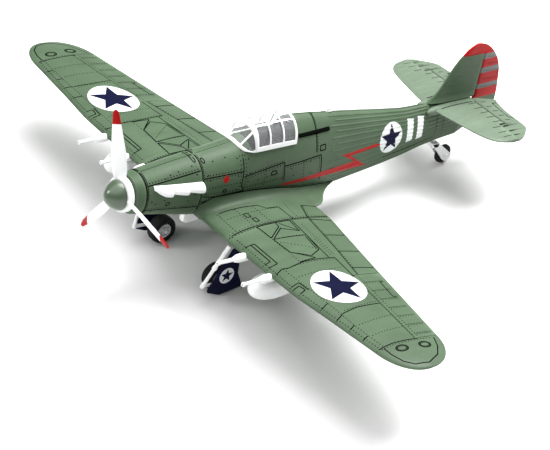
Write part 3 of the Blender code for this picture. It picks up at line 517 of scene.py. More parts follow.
def mirrored(points, side):
    """Points drawn for the port side, moved to the side asked for (1 port, -1 starboard)."""
    return [(side * x, y, z) for x, y, z in points]


def far_half(points):
    """The same points on the other side, in the order that closes a ring."""
    return [(-p[0], p[1], p[2]) for p in reversed(points)]


def circle(count):
    """Evenly spaced angles round a full turn."""
    return [2 * math.pi * k / count for k in range(count)]


def quarter(count):
    """Evenly spaced angles from 0 to a right angle, both ends included."""
    return [math.pi / 2 * k / count for k in range(count + 1)]


def superellipse(turn, power):
    """Unit (across, up) of a superellipse at an angle above the horizontal."""
    c, s = math.cos(turn), math.sin(turn)
    return (math.copysign(abs(c) ** (2.0 / power), c), math.copysign(abs(s) ** (2.0 / power), s))


# ---------------------------------------------------------------- forms
STATION_COLUMNS = [[(s[0], s[i]) for s in STATIONS] for i in (1, 2, 3)]
STATION_CACHE = {}


def station(y):
    """Half width, top and bottom of the fuselage at y."""
    key = round(y, 4)
    if key not in STATION_CACHE:
        STATION_CACHE[key] = [smooth_curve(column, y) for column in STATION_COLUMNS]
    return STATION_CACHE[key]


def deck_power(y):
    """Roundness of the upper half of the section: fuller ahead of the cockpit."""
    return interpolate(((60.0, 2.1), (98.0, 2.1), (104.0, 1.75), (300.0, 1.75)), y)


def hull_point(side, y, turn, inset=0.0):
    """Point of the fuselage at y; turn runs from 90 degrees on the top line to -90 at the keel."""
    half, top, bottom = station(y)
    power = deck_power(y) if turn >= 0 else KEEL_POWER
    across, up = superellipse(math.radians(turn), power)
    return Vector((side * (half - inset) * across, y, ((top if turn >= 0 else -bottom) - inset) * up))


def turn_at(y, z):
    """Angle round the section at which the fuselage's side is at height z."""
    _, top, bottom = station(y)
    power = deck_power(y) if z > 0 else KEEL_POWER
    share = min(abs(z) / (top if z > 0 else -bottom), 1.0)
    return math.degrees(math.copysign(math.asin(share ** (power / 2)), z))


def half_width(y, z):
    """Distance from the centre line to the fuselage side at (y, z)."""
    return abs(hull_point(1, y, turn_at(y, z)).x)


def wing_edges(x):
    """Leading and trailing edge of the wing; both close round the tip."""
    le, te = interpolate(WING_LE, x), interpolate(WING_TE, x)
    if x <= TIP_X:
        return le, te
    share = min((x - TIP_X) / (HALF_SPAN - TIP_X), 0.9995)
    keep = (1.0 - share ** TIP_POWER) ** (1.0 / TIP_POWER)
    middle = le + TIP_MIDDLE * (te - le)
    return middle - (middle - le) * keep, middle + (te - middle) * keep


def wing_surface(x, y):
    """Upper and lower Z of the wing at (x, y)."""
    le, te = wing_edges(x)
    chord = te - le
    t = min(max((y - le) / chord, 0.0), 1.0)
    body = 5 * interpolate(WING_THICK, x) * (
        AEROFOIL_NOSE * math.sqrt(t) + sum(c * t ** k for k, c in enumerate(AEROFOIL_BODY, start=1)))
    middle = interpolate(WING_Z, x) + chord * WING_CAMBER * t * (1.0 - t)
    half = max(chord * body, WING_EDGE)
    return middle + half, middle - half


def wing_ring(x, count=30):
    """Aerofoil section at x, closer spaced towards its two edges."""
    le, te = wing_edges(x)
    rows = [le + (te - le) * 0.5 * (1.0 - math.cos(math.pi * k / count)) for k in range(count + 1)]
    upper = [(x, y, wing_surface(x, y)[0]) for y in reversed(rows)]
    return upper + [(x, y, wing_surface(x, y)[1]) for y in rows]


def tail_half(x, y):
    """Half thickness of the tailplane and elevators."""
    le, te = interpolate(TAILPLANE_LE, x), interpolate(ELEVATOR_TE, x)
    t = min(max((y - le) / max(te - le, 1.0), 0.0), 1.0)
    scale = interpolate(((0.0, 1.0), (40.0, 0.8), (TAIL_SPAN, 0.45)), x)
    return max(0.35, scale * TAIL_THICK / 2 * 2.6 * math.sqrt(t) * (1.0 - t) ** 0.75)


def fin_half(y, z):
    """Half thickness of the fin, and of the rudder behind its hinge."""
    le = interpolate(FIN_LE, z)
    if y < FIN_REAR:
        flare = interpolate(((19.2, 2.0), (21.0, 1.0), (24.0, 0.35), (29.0, 0.0)), z)
        shares = ((le, 0.3), (le + 2.0, 0.6), (le + 8.0, 0.93), (le + 0.6 * (FIN_REAR - le), 1.0),
                  (FIN_REAR, 0.8))
        return (1.5 + flare) * interpolate(shares, y)
    te = interpolate(RUDDER_TE, z)
    half = RUDDER_HALF * interpolate(RUDDER_TAPER, z)
    front = RUDDER_HINGE_Y
    shares = ((front + 0.06 * (te - front), half), (front + 0.5 * (te - front), half * 0.75), (te, 0.35))
    return interpolate(shares, y)


# a surface takes two coordinates of its own and a lift, and gives the lifted point and its normal
PROBE, PROBE_TURN = 0.5, 1.0   # how far a surface looks either way for its slope


def lifted(point, along_u, along_v, lift, outward):
    """A point raised along the normal of two directions in its surface."""
    normal = along_u.cross(along_v)
    if normal.length < 1e-9:
        normal = outward.copy()
    normal.normalize()
    if normal.dot(outward) < 0:
        normal.negate()
    return point + normal * lift, normal


def on_wing(side, upper=True):
    """Wing skin of one side, in (x outboard, y)."""
    index = 0 if upper else 1

    def surface(x, y, lift):
        def at(a, b):
            return Vector((side * a, b, wing_surface(a, b)[index]))
        step = 0.4
        return lifted(at(x, y), at(x + step, y) - at(x - step, y), at(x, y + step) - at(x, y - step),
                      lift, Vector((0, 0, 1 if upper else -1)))
    return surface


def on_section(side, y, turn, lift, outward):
    """Point of the fuselage skin lifted along its normal."""
    def at(a, b):
        return hull_point(side, a, b)
    return lifted(at(y, turn), at(y + PROBE, turn) - at(y - PROBE, turn),
                  at(y, min(turn + PROBE_TURN, 90.0)) - at(y, max(turn - PROBE_TURN, -90.0)),
                  lift, outward)


def on_hull(side):
    """Fuselage skin of one side, in (y, z)."""
    def surface(y, z, lift):
        return on_section(side, y, turn_at(y, z), lift, Vector((side, 0, 0.2)))
    return surface


def on_ring(side):
    """Fuselage skin of one side, in (y, turn in degrees)."""
    def surface(y, turn, lift):
        steep = abs(turn) > 60
        outward = Vector((0.3 * side, 0, 1 if turn > 0 else -1)) if steep else Vector((side, 0, 0))
        return on_section(side, y, turn, lift, outward)
    return surface


def on_tail(side, upper=True):
    """Tailplane or elevator skin of one side, in (x outboard, y)."""
    way = 1 if upper else -1

    def surface(x, y, lift):
        return (Vector((side * x, y, TAIL_Z + way * (tail_half(x, y) + lift))), Vector((0, 0, way)))
    return surface


def on_fin(side):
    """Fin or rudder side, in (y, z)."""
    def surface(y, z, lift):
        return Vector((side * (fin_half(y, z) + lift), y, z)), Vector((side, 0, 0))
    return surface


# ---------------------------------------------------------------- lines, rivets and patches
LINE_LIFT, RIVET_LIFT = 0.035, 0.05
MARK_LIFT, STAR_LIFT, SIDE_STAR_LIFT = 0.06, 0.11, 0.12
STRIP_STEP = 2.2               # longest flat length of a strip


def trace(shape, surface, path, width=None, lift=LINE_LIFT, tone=0, ridge=0.0):
    """Lay a thin strip along a path on a surface; a ridge raises its middle."""
    width = sizes().line_width / MM if width is None else width
    for start, end in zip(path, path[1:]):
        start, end = Vector(start), Vector(end)
        count = max(1, math.ceil((end - start).length / STRIP_STEP))
        spots = [surface(*start.lerp(end, k / count), lift) for k in range(count + 1)]
        rows = []
        for k, (point, normal) in enumerate(spots):
            ahead = spots[min(k + 1, count)][0] - spots[max(k - 1, 0)][0]
            across = normal.cross(ahead).normalized() * width / 2
            row = [point - across, point + across]
            if ridge:
                row.insert(1, point + normal * ridge)
            rows.append(row)
        shape.loft(rows, wrap=False, caps=False, tone=tone)


def rivets(shape, surface, path, pitch=None, radius=None, tone=0):
    """Set a row of small round heads along a path on a surface."""
    pitch = sizes().rivet_pitch / MM if pitch is None else pitch
    radius = sizes().rivet_radius / MM if radius is None else radius
    for start, end in zip(path, path[1:]):
        start, end = Vector(start), Vector(end)
        count = max(1, round((end - start).length / pitch))
        for k in range(count):
            point, normal = surface(*start.lerp(end, (k + 0.5) / count), RIVET_LIFT)
            side = normal.orthogonal().normalized() * radius
            up = normal.cross(side)
            ring = [point + side * math.cos(a) + up * math.sin(a) for a in circle(6)]
            shape.face(shape.add(ring), tone)


def disc(shape, surface, centre, radius, lift=MARK_LIFT, tone=0, rings=24, segments=100):
    """Lay a round patch on a surface; a radius that varies with the angle gives a star."""
    rows = []
    for k in range(rings + 1):
        row = []
        for turn in circle(segments):
            a = turn + math.pi / 2
            r = (radius(a) if callable(radius) else radius) * max(k / rings, 0.002)
            row.append(surface(centre[0] + r * math.cos(a), centre[1] + r * math.sin(a), lift)[0])
        rows.append(row)
    shape.loft(rows, caps=False, tone=tone)


def patch(shape, surface, corners, lift=MARK_LIFT, tone=0, steps=(6, 6)):
    """Lay a four-cornered patch on a surface."""
    a, b, c, d = [Vector(p) for p in corners]
    rows = []
    for i in range(steps[0] + 1):
        left, right = a.lerp(d, i / steps[0]), b.lerp(c, i / steps[0])
        rows.append([surface(*left.lerp(right, j / steps[1]), lift)[0] for j in range(steps[1] + 1)])
    shape.loft(rows, wrap=False, caps=False, tone=tone)


def on_stringers(side):
    """Fuselage skin of one side in (y, z), riding up over the fabric stringers."""
    hull = on_hull(side)

    def surface(y, z, lift):
        point, rise = hull_point(1, y, turn_at(y, z)), 0.0
        if y > STRINGER_FRONT:
            for turn in STRINGER_TURNS:
                gap = (hull_point(1, y, turn) - point).length
                rise = max(rise, STRINGER_HIGH * (1.0 - gap / STRINGER_HALF))
        return hull(y, z, lift + rise)
    return surface


def star_reach(radius, points=5, waist=0.42):
    """Distance from the middle of a plain star to its edge, for any angle."""
    half = math.pi / points

    def reach(angle):
        a = (angle - math.pi / 2) % (2 * half)
        a = min(a, 2 * half - a)
        inner_x, inner_y = waist * math.cos(half) - 1.0, waist * math.sin(half)
        return radius * waist * math.sin(half) / (math.cos(a) * inner_y - math.sin(a) * inner_x)
    return reach


def closed(path):
    return list(path) + [path[0]]


def box_path(u, v, wide, high):
    """Closed rectangle round (u, v)."""
    return closed([(u - wide / 2, v - high / 2), (u + wide / 2, v - high / 2),
                   (u + wide / 2, v + high / 2), (u - wide / 2, v + high / 2)])


def oval_path(u, v, wide, high, count=20):
    """Closed oval round (u, v)."""
    return closed([(u + wide / 2 * math.cos(a), v + high / 2 * math.sin(a)) for a in circle(count)])


def material_slots(node, material):
    """Give one material to every slot of a CAD node."""
    obj = frame["nodes"][node]
    for slot in obj.material_slots:
        slot.material = material


SIDES = ((1, "left"), (-1, "right"))


# ---------------------------------------------------------------- fuselage
def port_section(y, inset=0.0, steps=30):
    """Port half of a fuselage section, from the top line down to the keel."""
    return [hull_point(1, y, 90.0 - 180.0 * k / steps, inset) for k in range(steps + 1)]


def hull_section(y, inset=0.0):
    """Whole fuselage section at y."""
    port = port_section(y, inset)
    return port + far_half(port[1:-1])


class WARBIRD_OT_fuselage(bpy.types.Operator):
    """Build the two smooth shells of the rear fuselage with their openings"""
    bl_idname = "warbird.fuselage"
    bl_label = "Fuselage shells"

    def execute(self, context):
        seam, post = 0.05, 1.7
        for side, label in SIDES:
            rings = []
            for y in span_steps(62.0, 293.4, 3.4):
                inset = min(WALL, 0.45 * station(y)[0])
                outer, inner = port_section(y, steps=34), port_section(y, inset, steps=34)
                rings.append([(side * max(p[0], seam), p[1], p[2]) for p in outer + inner[::-1]])
            shell = Shape().loft(rings).piece(
                f"shell_{label}", "airframe", [green_skin()], [f"fuselage_{label}"], "moulded_green")
            # openings for the wing, the cockpit, the tailplane and the steering post
            tops = [(y, wing_surface(16.0, y)[0] + GAP) for y in range(64, 144, 4)]
            saddle = [(61.0, -60), (61.0, -16.5)] + tops + [(144.1, -16.5), (144.1, -60)]
            cut(shell, side_cutter(saddle))
            cut(shell, side_cutter([(99.0, SILL_Z), (132.8, SILL_Z), (134.4, 60), (97.4, 60)]))
            cut(shell, block_rings((-30, 255.0, TAIL_Z - TAIL_THICK / 2 - 0.7), (30, 300, 60)))
            hole = [(post * math.cos(a), STEER_Y + post * math.sin(a)) for a in circle(16)]
            cut(shell, [[(x, y, z) for x, y in hole] for z in (-20, -4)])
        return {"FINISHED"}


class WARBIRD_OT_cowling(bpy.types.Operator):
    """Build the engine cowling and the nose ring"""
    bl_idname = "warbird.cowling"
    bl_label = "Cowling and nose ring"

    def execute(self, context):
        rows = span_steps(22.0, 61.6, 2.2)
        rings = [hull_section(y) for y in rows] + [hull_section(y, WALL) for y in reversed(rows)]
        Shape().loft(rings, loop=True).piece(
            "cowling_skin", "airframe", [green_skin()], ["cowling"], "moulded_green")
        rows = (15.2, 15.6, 17.0, 18.5, 20.0, 21.6)
        lip, bore = 0.94, 0.5

        def scaled(y, share):
            return [(p[0] * share, p[1], p[2] * share) for p in hull_section(y)]
        rings = [scaled(y, lip if y == rows[0] else 1.0) for y in rows]
        rings += [scaled(y, bore) for y in reversed(rows)]
        Shape().loft(rings, loop=True).piece(
            "nose_ring_skin", "airframe", [green_skin()], ["nose_ring"], "moulded_green")
        return {"FINISHED"}


class WARBIRD_OT_exhausts(bpy.types.Operator):
    """Build the two rows of three flared exhaust stubs"""
    bl_idname = "warbird.exhausts"
    bl_label = "Exhaust stubs"

    def execute(self, context):
        start, pitch, top, slope = 27.0, 11.5, 8.6, 0.055
        # share of the pitch, and how far the stub stands out there
        flare = ((0.0, 2.2), (0.12, 2.7), (0.35, 3.3), (0.6, 3.9), (0.85, 4.4), (0.95, 4.4), (0.99, 3.4))
        for side, label in SIDES:
            shape = Shape()
            for k in range(3):
                rings = []
                for share, reach in flare:
                    y = start + pitch * (k + share)
                    fade = min(1.0, 0.25 + (y - start) / 7.0)
                    reach *= fade
                    half = (1.7 + 0.36 * reach) * (0.5 + 0.5 * fade)
                    middle = top - slope * (y - start) - half
                    ring = []
                    for i in range(17):
                        a = math.pi * i / 16
                        z = middle + half * math.cos(a)
                        ring.append((side * (half_width(y, z) + SEAT + reach * math.sin(a) ** 0.8), y, z))
                    for i in range(1, 8):
                        z = middle - half + 2 * half * i / 8
                        ring.append((side * (half_width(y, z) + 0.06), y, z))
                    rings.append(ring)
                shape.loft(rings)
            shape.piece(f"exhaust_stubs_{label}", "airframe", [white_plastic()],
                        [f"exhaust_{label}"], "white_plastic")
        return {"FINISHED"}


# ---------------------------------------------------------------- wing
class WARBIRD_OT_wing(bpy.types.Operator):
    """Build the centre section with its belly and root fillets, and the two outer panels"""
    bl_idname = "warbird.wing"
    bl_label = "Wing"

    def execute(self, context):
        stops = span_steps(-ROOT_X, ROOT_X, 5.0)
        centre = Shape().loft([mirrored(wing_ring(abs(x)), 1 if x >= 0 else -1) for x in stops]).piece(
            "wing_centre_skin", "airframe", [green_skin()], ["wing_centre_section"], "moulded_green")
        belly = []
        for y in span_steps(63.4, 143.9, 3.4):
            low = turn_at(y, -17.5)
            turns = [low + (-90.0 - low) * k / 14 for k in range(15)]
            port = [hull_point(1, y, turn) for turn in turns]
            belly.append(port + far_half(port[:-1]))
        cut(centre, belly, "UNION")
        for side in (1, -1):
            rings = []
            for y in span_steps(63.4, 177.0, 2.4):
                reach, crest = smooth_curve(FILLET_REACH, y), smooth_curve(FILLET_CREST, y)
                te = wing_edges(reach)[1]
                foot = wing_surface(reach, min(y, te))[0] - 0.14 - 0.03 * max(0.0, y - te)
                curve = []
                for a in quarter(8):
                    z = foot + (crest - foot) * (1 - math.cos(a))
                    root_x = half_width(y, z) + SEAT
                    curve.append((reach - (reach - root_x) * math.sin(a), y, z))
                low = foot - (1.0 if y > 130.0 else 2.2)
                curve += [(half_width(y, low) - 0.6, y, crest), (half_width(y, low) - 0.6, y, low),
                          (reach - 0.3, y, low)]
                rings.append(mirrored(curve, side))
            cut(centre, rings, "UNION")
        inner_stops = span_steps(ROOT_X + GAP, TIP_X, 6.0)
        # the tip closes fast, so its ribs crowd together
        tip_stops = [179, 182, 185, 188, 190.5, 193, 195, 196.7, 198, 199, 199.6, HALF_SPAN]
        x0, x1 = AILERON_X
        for side, label in SIDES:
            rings = [mirrored(wing_ring(x), side) for x in inner_stops + tip_stops]
            panel = Shape().loft(rings).piece(
                f"wing_skin_{label}", "airframe", [green_skin()], [f"wing_panel_{label}"], "moulded_green")
            bay = []
            for x in (x0 - HINGE_PLAY, x1 + HINGE_PLAY):
                hinge = interpolate(AILERON_HINGE, x)
                upper, lower = wing_surface(x, hinge)
                bay.append((side * x, hinge - (upper - lower) / 2 - HINGE_PLAY))
            bay += [(side * (x1 + HINGE_PLAY), 160), (side * (x0 - HINGE_PLAY), 160)]
            cut(panel, [[(x, y, z) for x, y in bay] for z in (-40, 20)])
        return {"FINISHED"}


class WARBIRD_OT_ailerons(bpy.types.Operator):
    """Build the two ailerons with round noses and pinched trailing edges"""
    bl_idname = "warbird.ailerons"
    bl_label = "Ailerons"

    def execute(self, context):
        for side, label in SIDES:
            rings = []
            for x in span_steps(*AILERON_X, 5.0):
                hinge, te = interpolate(AILERON_HINGE, x), wing_edges(x)[1]
                rows = [hinge + (te - hinge) * share for share in (0.0, 0.15, 0.3, 0.45, 0.6, 0.8, 1.0)]
                upper, lower = wing_surface(x, hinge)
                nose, middle = (upper - lower) / 2, (upper + lower) / 2
                ring = [(x, y, wing_surface(x, y)[0]) for y in reversed(rows)]
                turns = [math.pi / 2 + math.pi * k / 10 for k in range(1, 10)]
                ring += [(x, hinge + nose * math.cos(a), middle + nose * math.sin(a)) for a in turns]
                ring += [(x, y, wing_surface(x, y)[1]) for y in rows]
                rings.append(mirrored(ring, side))
            Shape().loft(rings).piece(f"aileron_skin_{label}", f"aileron_{label}", [green_skin()],
                                      [f"aileron_{label}"], "moulded_green")
        return {"FINISHED"}


# ---------------------------------------------------------------- tail
class WARBIRD_OT_tail(bpy.types.Operator):
    """Build the tailplane, the elevators, the fin and the striped rudder"""
    bl_idname = "warbird.tail"
    bl_label = "Tail surfaces"

    def execute(self, context):
        self.tailplane()
        for side, label in SIDES:
            self.elevator(side, label)
            self.root_fairing(side, label)
        self.fin()
        self.stern_post()
        self.rudder()
        return {"FINISHED"}

    def tailplane(self):
        """Fixed tailplane with a step in its rear edge for the horns."""
        rear, horn_front = TAIL_HINGE_Y - tail_half(5.0, TAIL_HINGE_Y) - HINGE_PLAY, 285.4
        stops = [0.0, 4.0, 8.0, 12.3, 17.0, 21.5, 26.5, 31.7, 36.4, 36.8, 39.5, 41.7, 44.0, 46.0, 48.0,
                 49.7, 51.2, 52.4, 53.5, 54.4, 55.1, 55.6]
        rings = []
        for x in [-s for s in reversed(stops[1:])] + stops:
            span = abs(x)
            le = smooth_curve(TAILPLANE_LE, span)
            back = rear if span < HORN_X - 0.8 else horn_front
            shares = (0.0, 0.015, 0.05, 0.1, 0.18, 0.3, 0.45, 0.6, 0.8, 1.0)
            rows = [le + (back - le) * s for s in shares]
            upper = [(x, y, TAIL_Z + tail_half(span, y)) for y in reversed(rows)]
            rings.append(upper + [(x, y, TAIL_Z - tail_half(span, y)) for y in rows])
        Shape().loft(rings).piece("tailplane_skin", "airframe", [tail_skin_painted_light()], ["tailplane"],
                                  "moulded_green")

    def root_fairing(self, side, label):
        """Rounded fairing where the tailplane meets the fuselage."""
        front, long = 251.0, 38.0
        rings = []
        for share in span_steps(0.0, 1.0, 1 / 16):
            y = front + long * share
            radius = 0.2 + 2.7 * math.sin(math.pi * min(max(share ** 0.6, 0.01), 0.99)) ** 0.6
            x, z = half_width(y, 12.0) + 0.2, 14.9 + 0.8 * share
            rings.append([(side * (x + radius * math.cos(a)), y, z + radius * math.sin(a))
                          for a in circle(24)])
        Shape().loft(rings).piece(f"tail_fairing_{label}", "airframe", [tail_skin_painted_light()], slot="moulded_green")

    def elevator(self, side, label):
        """Elevator with a round nose, a horn at its tip and a slanted inner end."""
        rings = []
        stops = [3.6, 8.0, 12.0, 16.0, 21.5, 27.0, 32.0, 37.2, 37.6, 40.0, 43.0, 45.5, 48.0, 50.0, 51.6,
                 53.2, 54.5, 55.6, 56.4]
        for x in stops:
            te = smooth_curve(ELEVATOR_TE, x)
            horn = x > HORN_X
            front = 286.2 if horn else TAIL_HINGE_Y
            half = HORN_HALF if horn else tail_half(x, TAIL_HINGE_Y)
            rows = [front + (te - front) * s for s in (0.0, 0.17, 0.35, 0.52, 0.7, 0.85, 1.0)]

            def thick(y):
                return min(half, tail_half(x, y)) if y > TAIL_HINGE_Y else half
            slant = [x + (max(0.0, y - TAIL_HINGE_Y) * 0.3 if x < 5 else 0.0) for y in rows]
            ring = [(px, y, TAIL_Z + thick(y)) for px, y in zip(reversed(slant), reversed(rows))]
            for k in range(1, 8):
                a = math.pi * k / 8
                ring.append((x, front - half * math.sin(a), TAIL_Z + half * math.cos(a)))
            ring += [(px, y, TAIL_Z - thick(y)) for px, y in zip(slant, rows)]
            rings.append(mirrored(ring, side))
        Shape().loft(rings).piece(f"elevator_skin_{label}", "elevators", [tail_skin_painted_light()],
                                  [f"elevator_{label}"], "moulded_green")

    def fin(self):
        """Fin that flares into the deck at its foot."""
        rings = []
        for z in (19.2, 20.0, 21.0, 22.5, 24.0, 26.5, 29.0, 32.5, 36.3, 40.0, 44.0, 47.0, 49.2, 49.7):
            le = smooth_curve(FIN_LE, z)
            rows = [le, le + 0.7, le + 2.0, le + 4.5, le + 8.0]
            rows += [le + 8.0 + (FIN_REAR - le - 8.0) * s for s in (0.3, 0.6, 0.8, 1.0)]
            port = [(fin_half(y, z), y, z) for y in rows]
            rings.append(port + far_half(port))
        Shape().loft(rings).piece("fin_skin", "airframe", [green_skin()], ["fin"], "moulded_green")

    def stern_post(self):
        """Post that closes the stern ahead of the rudder, with a thin web up to the rudder's nose."""
        shape = Shape()
        shape.loft([[(-half, front, z), (half, front, z), (half, 295.1, z), (-half, 295.1, z)]
                    for z, half, front in ((18.0, 1.5, 288.0), (19.4, 1.5, 288.0), (19.9, 1.2, 288.6))])
        shape.loft([[(-half, 292.6, z), (half, 292.6, z), (half * 0.7, 295.1, z), (-half * 0.7, 295.1, z)]
                    for z, half in ((-5.4, 0.9), (-2.0, 1.8), (6.0, 2.3), (13.2, 2.2))])
        shape.loft(block_rings((-0.2, 294.6, 17.6), (0.2, 296.1, 49.2)))
        shape.loft(block_rings((-0.2, 294.6, -5.0), (0.2, 296.1, 13.0)))
        shape.piece("stern_post", "airframe", [green_skin()], slot="moulded_green")

    def rudder(self):
        """Striped rudder with a cap that reaches forward over the fin."""
        # height at which each paint starts: 0 green, 1 red, 2 grey
        bands = ((-6.0, 0), (16.0, 1), (22.8, 2), (26.4, 1), (34.7, 2), (38.8, 1), (45.2, 2), (49.4, 1))
        heights = [-6.0, -3.0, 0.0, 4.0, 8.0, 12.4, 16.0, 20.0, 22.8, 26.4, 30.0, 34.7, 38.8, 42.8, 45.2,
                   49.4, 49.9, 50.0, 51.8, 53.5, 55.0, 56.0, 56.9, 57.5]
        caps = ((50.0, 277.6), (53.5, 280.6), (56.0, 284.6), (57.5, 287.8))
        rings = []
        for z in heights:
            te = smooth_curve(RUDDER_TE, z)
            cap = z > 49.95
            front = smooth_curve(caps, z) if cap else RUDDER_HINGE_Y
            half = RUDDER_HALF * interpolate(RUDDER_TAPER, z)
            lead = half * (0.6 if cap else 1.0)
            port = [(0.3, te), (0.35, te - 0.5)]
            port += [(interpolate(((0.06, half), (0.5, half * 0.75), (1.0, 0.35)), s),
                      front + s * (te - front)) for s in (0.8, 0.65, 0.5, 0.35, 0.2, 0.06)]
            port += [(lead * math.cos(math.pi * k / 12), front - lead * math.sin(math.pi * k / 12))
                     for k in range(1, 6)]
            port = [(x, y, z) for x, y in port]
            rings.append(port + far_half(port))

        def tone(k):
            return [slot for low, slot in bands if heights[k] >= low - 0.01][-1]
        Shape().loft(rings, tone=tone).piece(
            "rudder_skin", "rudder", [green_skin(), red_paint(), stripe_paint()], ["rudder"], "red_paint")


# ---------------------------------------------------------------- panel lines and rivets
# wing paths are (distance outboard, Y); hull paths are (Y, Z); rings are (Y, turn from, turn to)
WING_LINES = (
    ((44.0, 64.4), (44.0, 141.8)),
    ((89.2, 63.8), (87.0, 70.6), (88.4, 74.2), (87.0, 86.5), (87.4, 97.0), (88.7, 109.7), (108.4, 107.4)),
    ((45.2, 83.4), (45.2, 98.0), (49.9, 97.0), (58.7, 84.3), (48.3, 84.0), (45.2, 83.4)),
    ((45.2, 98.0), (45.2, 109.2), (57.4, 107.6), (51.9, 97.0)),
    ((60.4, 84.5), (75.7, 85.4), (83.3, 95.9), (78.6, 105.7), (62.4, 108.9), (60.4, 84.5)),
    ((86.5, 84.0), (85.9, 96.9), (75.7, 85.4)),
    ((45.2, 110.8), (87.6, 105.9)),
    ((57.4, 64.2), (58.4, 71.6), (81.4, 71.4), (81.4, 64.0)), ((58.2, 69.4), (77.4, 69.2), (77.4, 64.0)),
    ((103.2, 64.0), (102.8, 70.6), (111.2, 71.2)),
    ((105.8, 64.0), (105.2, 69.0), (110.2, 69.6), (111.4, 64.2)),
    ((30.1, 131.4), (44.3, 125.1), (66.0, 121.3), (83.4, 117.6), (101.1, 113.3), (108.3, 111.6)),
    ((31.9, 142.6), (30.1, 131.4)), ((48.9, 141.4), (46.6, 124.3)), ((66.2, 137.6), (64.7, 121.4)),
    ((84.6, 133.8), (83.0, 117.8)), ((102.8, 130.0), (101.1, 113.3)),
    ((139.0, 74.1), (137.8, 86.1), (138.6, 103.0)),
    ((175.4, 69.8), (174.7, 81.5), (175.4, 95.2), (175.8, 100.2)),
    ((176.2, 74.3), (183.0, 74.8), (190.2, 77.2), (195.0, 82.0), (196.6, 91.5), (192.0, 102.0),
     (185.4, 108.0), (177.0, 112.4)),
    ((22.6, 72.0), (23.6, 88.0), (24.8, 100.0), (29.4, 103.5), (29.6, 112.8), (44.0, 113.4)),
    ((51.2, 97.6), (60.0, 85.4)), ((63.6, 107.2), (77.8, 104.4)), ((46.6, 99.6), (56.2, 107.0)),
    ((129.2, 66.2), (126.8, 73.0)), ((141.9, 67.4), (139.5, 73.7)), ((152.8, 68.2), (150.8, 73.4)),
    ((163.8, 69.2), (162.4, 73.8)),
)
WING_STITCHES = (
    ((86.9, 70.9), (107.0, 71.8), (126.8, 73.0), (150.8, 73.4), (175.2, 75.1)),
    ((45.2, 83.2), (59.3, 83.9), (76.3, 84.9), (86.1, 84.3)),
    ((45.4, 64.6), (45.4, 141.4)), ((42.6, 64.6), (42.6, 141.6)),
    ((88.4, 72.0), (88.2, 86.5), (88.6, 97.0), (89.8, 109.0)),
    ((30.3, 132.4), (44.5, 126.1), (66.2, 122.3), (83.6, 118.6), (101.3, 114.3), (108.3, 112.6)),
    ((22.2, 70.6), (42.4, 70.1)), ((22.9, 83.0), (42.4, 82.6)), ((24.5, 96.0), (42.4, 96.0)),
    ((26.0, 120.0), (42.4, 118.0)), ((30.2, 72.0), (30.2, 112.0)),
    ((60.4, 86.0), (61.6, 107.4)), ((64.0, 86.0), (76.4, 103.6)),
    ((176.4, 72.0), (176.0, 82.0), (176.6, 96.0), (177.2, 110.0)),
    ((137.2, 76.0), (136.4, 102.6)), ((152.0, 75.0), (151.0, 101.6)), ((163.6, 75.4), (163.0, 100.4)),
    ((124.0, 74.0), (124.4, 104.6)), ((98.4, 73.0), (99.2, 107.0)),
    ((118.0, 106.6), (174.6, 99.2)), ((48.4, 66.2), (104.0, 65.4)), ((112.0, 66.0), (174.6, 72.2)),
    ((67.0, 111.6), (86.0, 109.6)), ((50.0, 114.6), (86.0, 112.0)),
)
AILERON_RIBS = (117.0, 126.0, 135.0, 144.0, 153.0, 162.0, 171.0)
HULL_LINES = (
    ((92.2, 19.4), (92.0, 8.6), (91.4, -0.7), (94.0, -6.0), (96.4, -10.2)),
    ((92.8, 4.8), (124.1, 8.6), (125.7, -4.1)),
    ((124.5, 5.9), (154.7, 7.5), (158.4, -11.6)),
    ((63.0, 7.9), (91.6, 8.3)),
    ((22.6, -7.1), (42.0, -9.0), (61.4, -11.1)),
    ((23.0, 8.6), (61.0, 12.6)),
    ((63.2, -4.0), (72.7, -5.8), (93.0, -5.1)),
    ((215.0, -9.0), (262.0, -4.6)),
    ((262.4, 12.0), (262.4, -8.0)), ((268.4, 7.0), (269.9, -6.3), (284.0, -4.6)),
    ((62.8, -8.0), (93.0, -8.6)),
)
HULL_RINGS = ((22.3, 88, -88), (61.8, 88, -34), (150.6, 90, 22))
HULL_SCREWS = (
    (27, 7), (36, 11), (46, 13.4), (26, -1), (29, -3), (35, -1.4), (44, -8), (33, -8), (28, -9),
    (53, -5), (58, 11), (66, 9.5), (66, -3), (67, 6.4), (50, -10), (57, -1), (40, 12.4), (56, 15),
    (97, 6.4), (104, 0.6), (111, 1.4), (119, 2.0), (130, 3.2), (133, -2), (146, 4.8), (148, -4),
    (88, 16), (88, 6), (88, -3), (96, 15), (96, 1), (71, 16), (80, 17), (97, -7), (108, -7),
)
# round ports are (Y, Z, width); hatches are (Y, Z, length, height)
HULL_PORTS = ((38, -4.6, 2.6), (59, 17.2, 1.9), (64.6, 16.6, 1.9), (79.0, -2.4, 2.2))
HULL_HATCHES = ((156.0, 11.8, 4.4, 3.4), (116.2, 3.0, 3.6, 2.6))
HULL_STITCHES = (
    ((64.0, 6.7), (91.0, 7.1)), ((64.0, 9.2), (90.4, 9.6)), ((93.4, 5.9), (123.4, 9.6)),
    ((93.6, 3.4), (124.0, 7.2)), ((123.0, 6.0), (124.6, -4.0)), ((126.0, 4.6), (154.0, 6.2)),
    ((153.4, 6.4), (156.8, -10.6)), ((23.6, -5.8), (61.0, -9.8)), ((23.6, 9.8), (60.4, 13.6)),
    ((63.6, 1.0), (91.0, 1.4)), ((64.0, -2.6), (91.0, -3.6)), ((93.0, -3.0), (124.0, -2.0)),
    ((90.2, 18.0), (90.2, -4.6)), ((93.8, 18.0), (93.8, -8.0)),
    ((109.0, 7.0), (109.6, -5.0)), ((140.0, 7.0), (142.0, -8.0)),
)
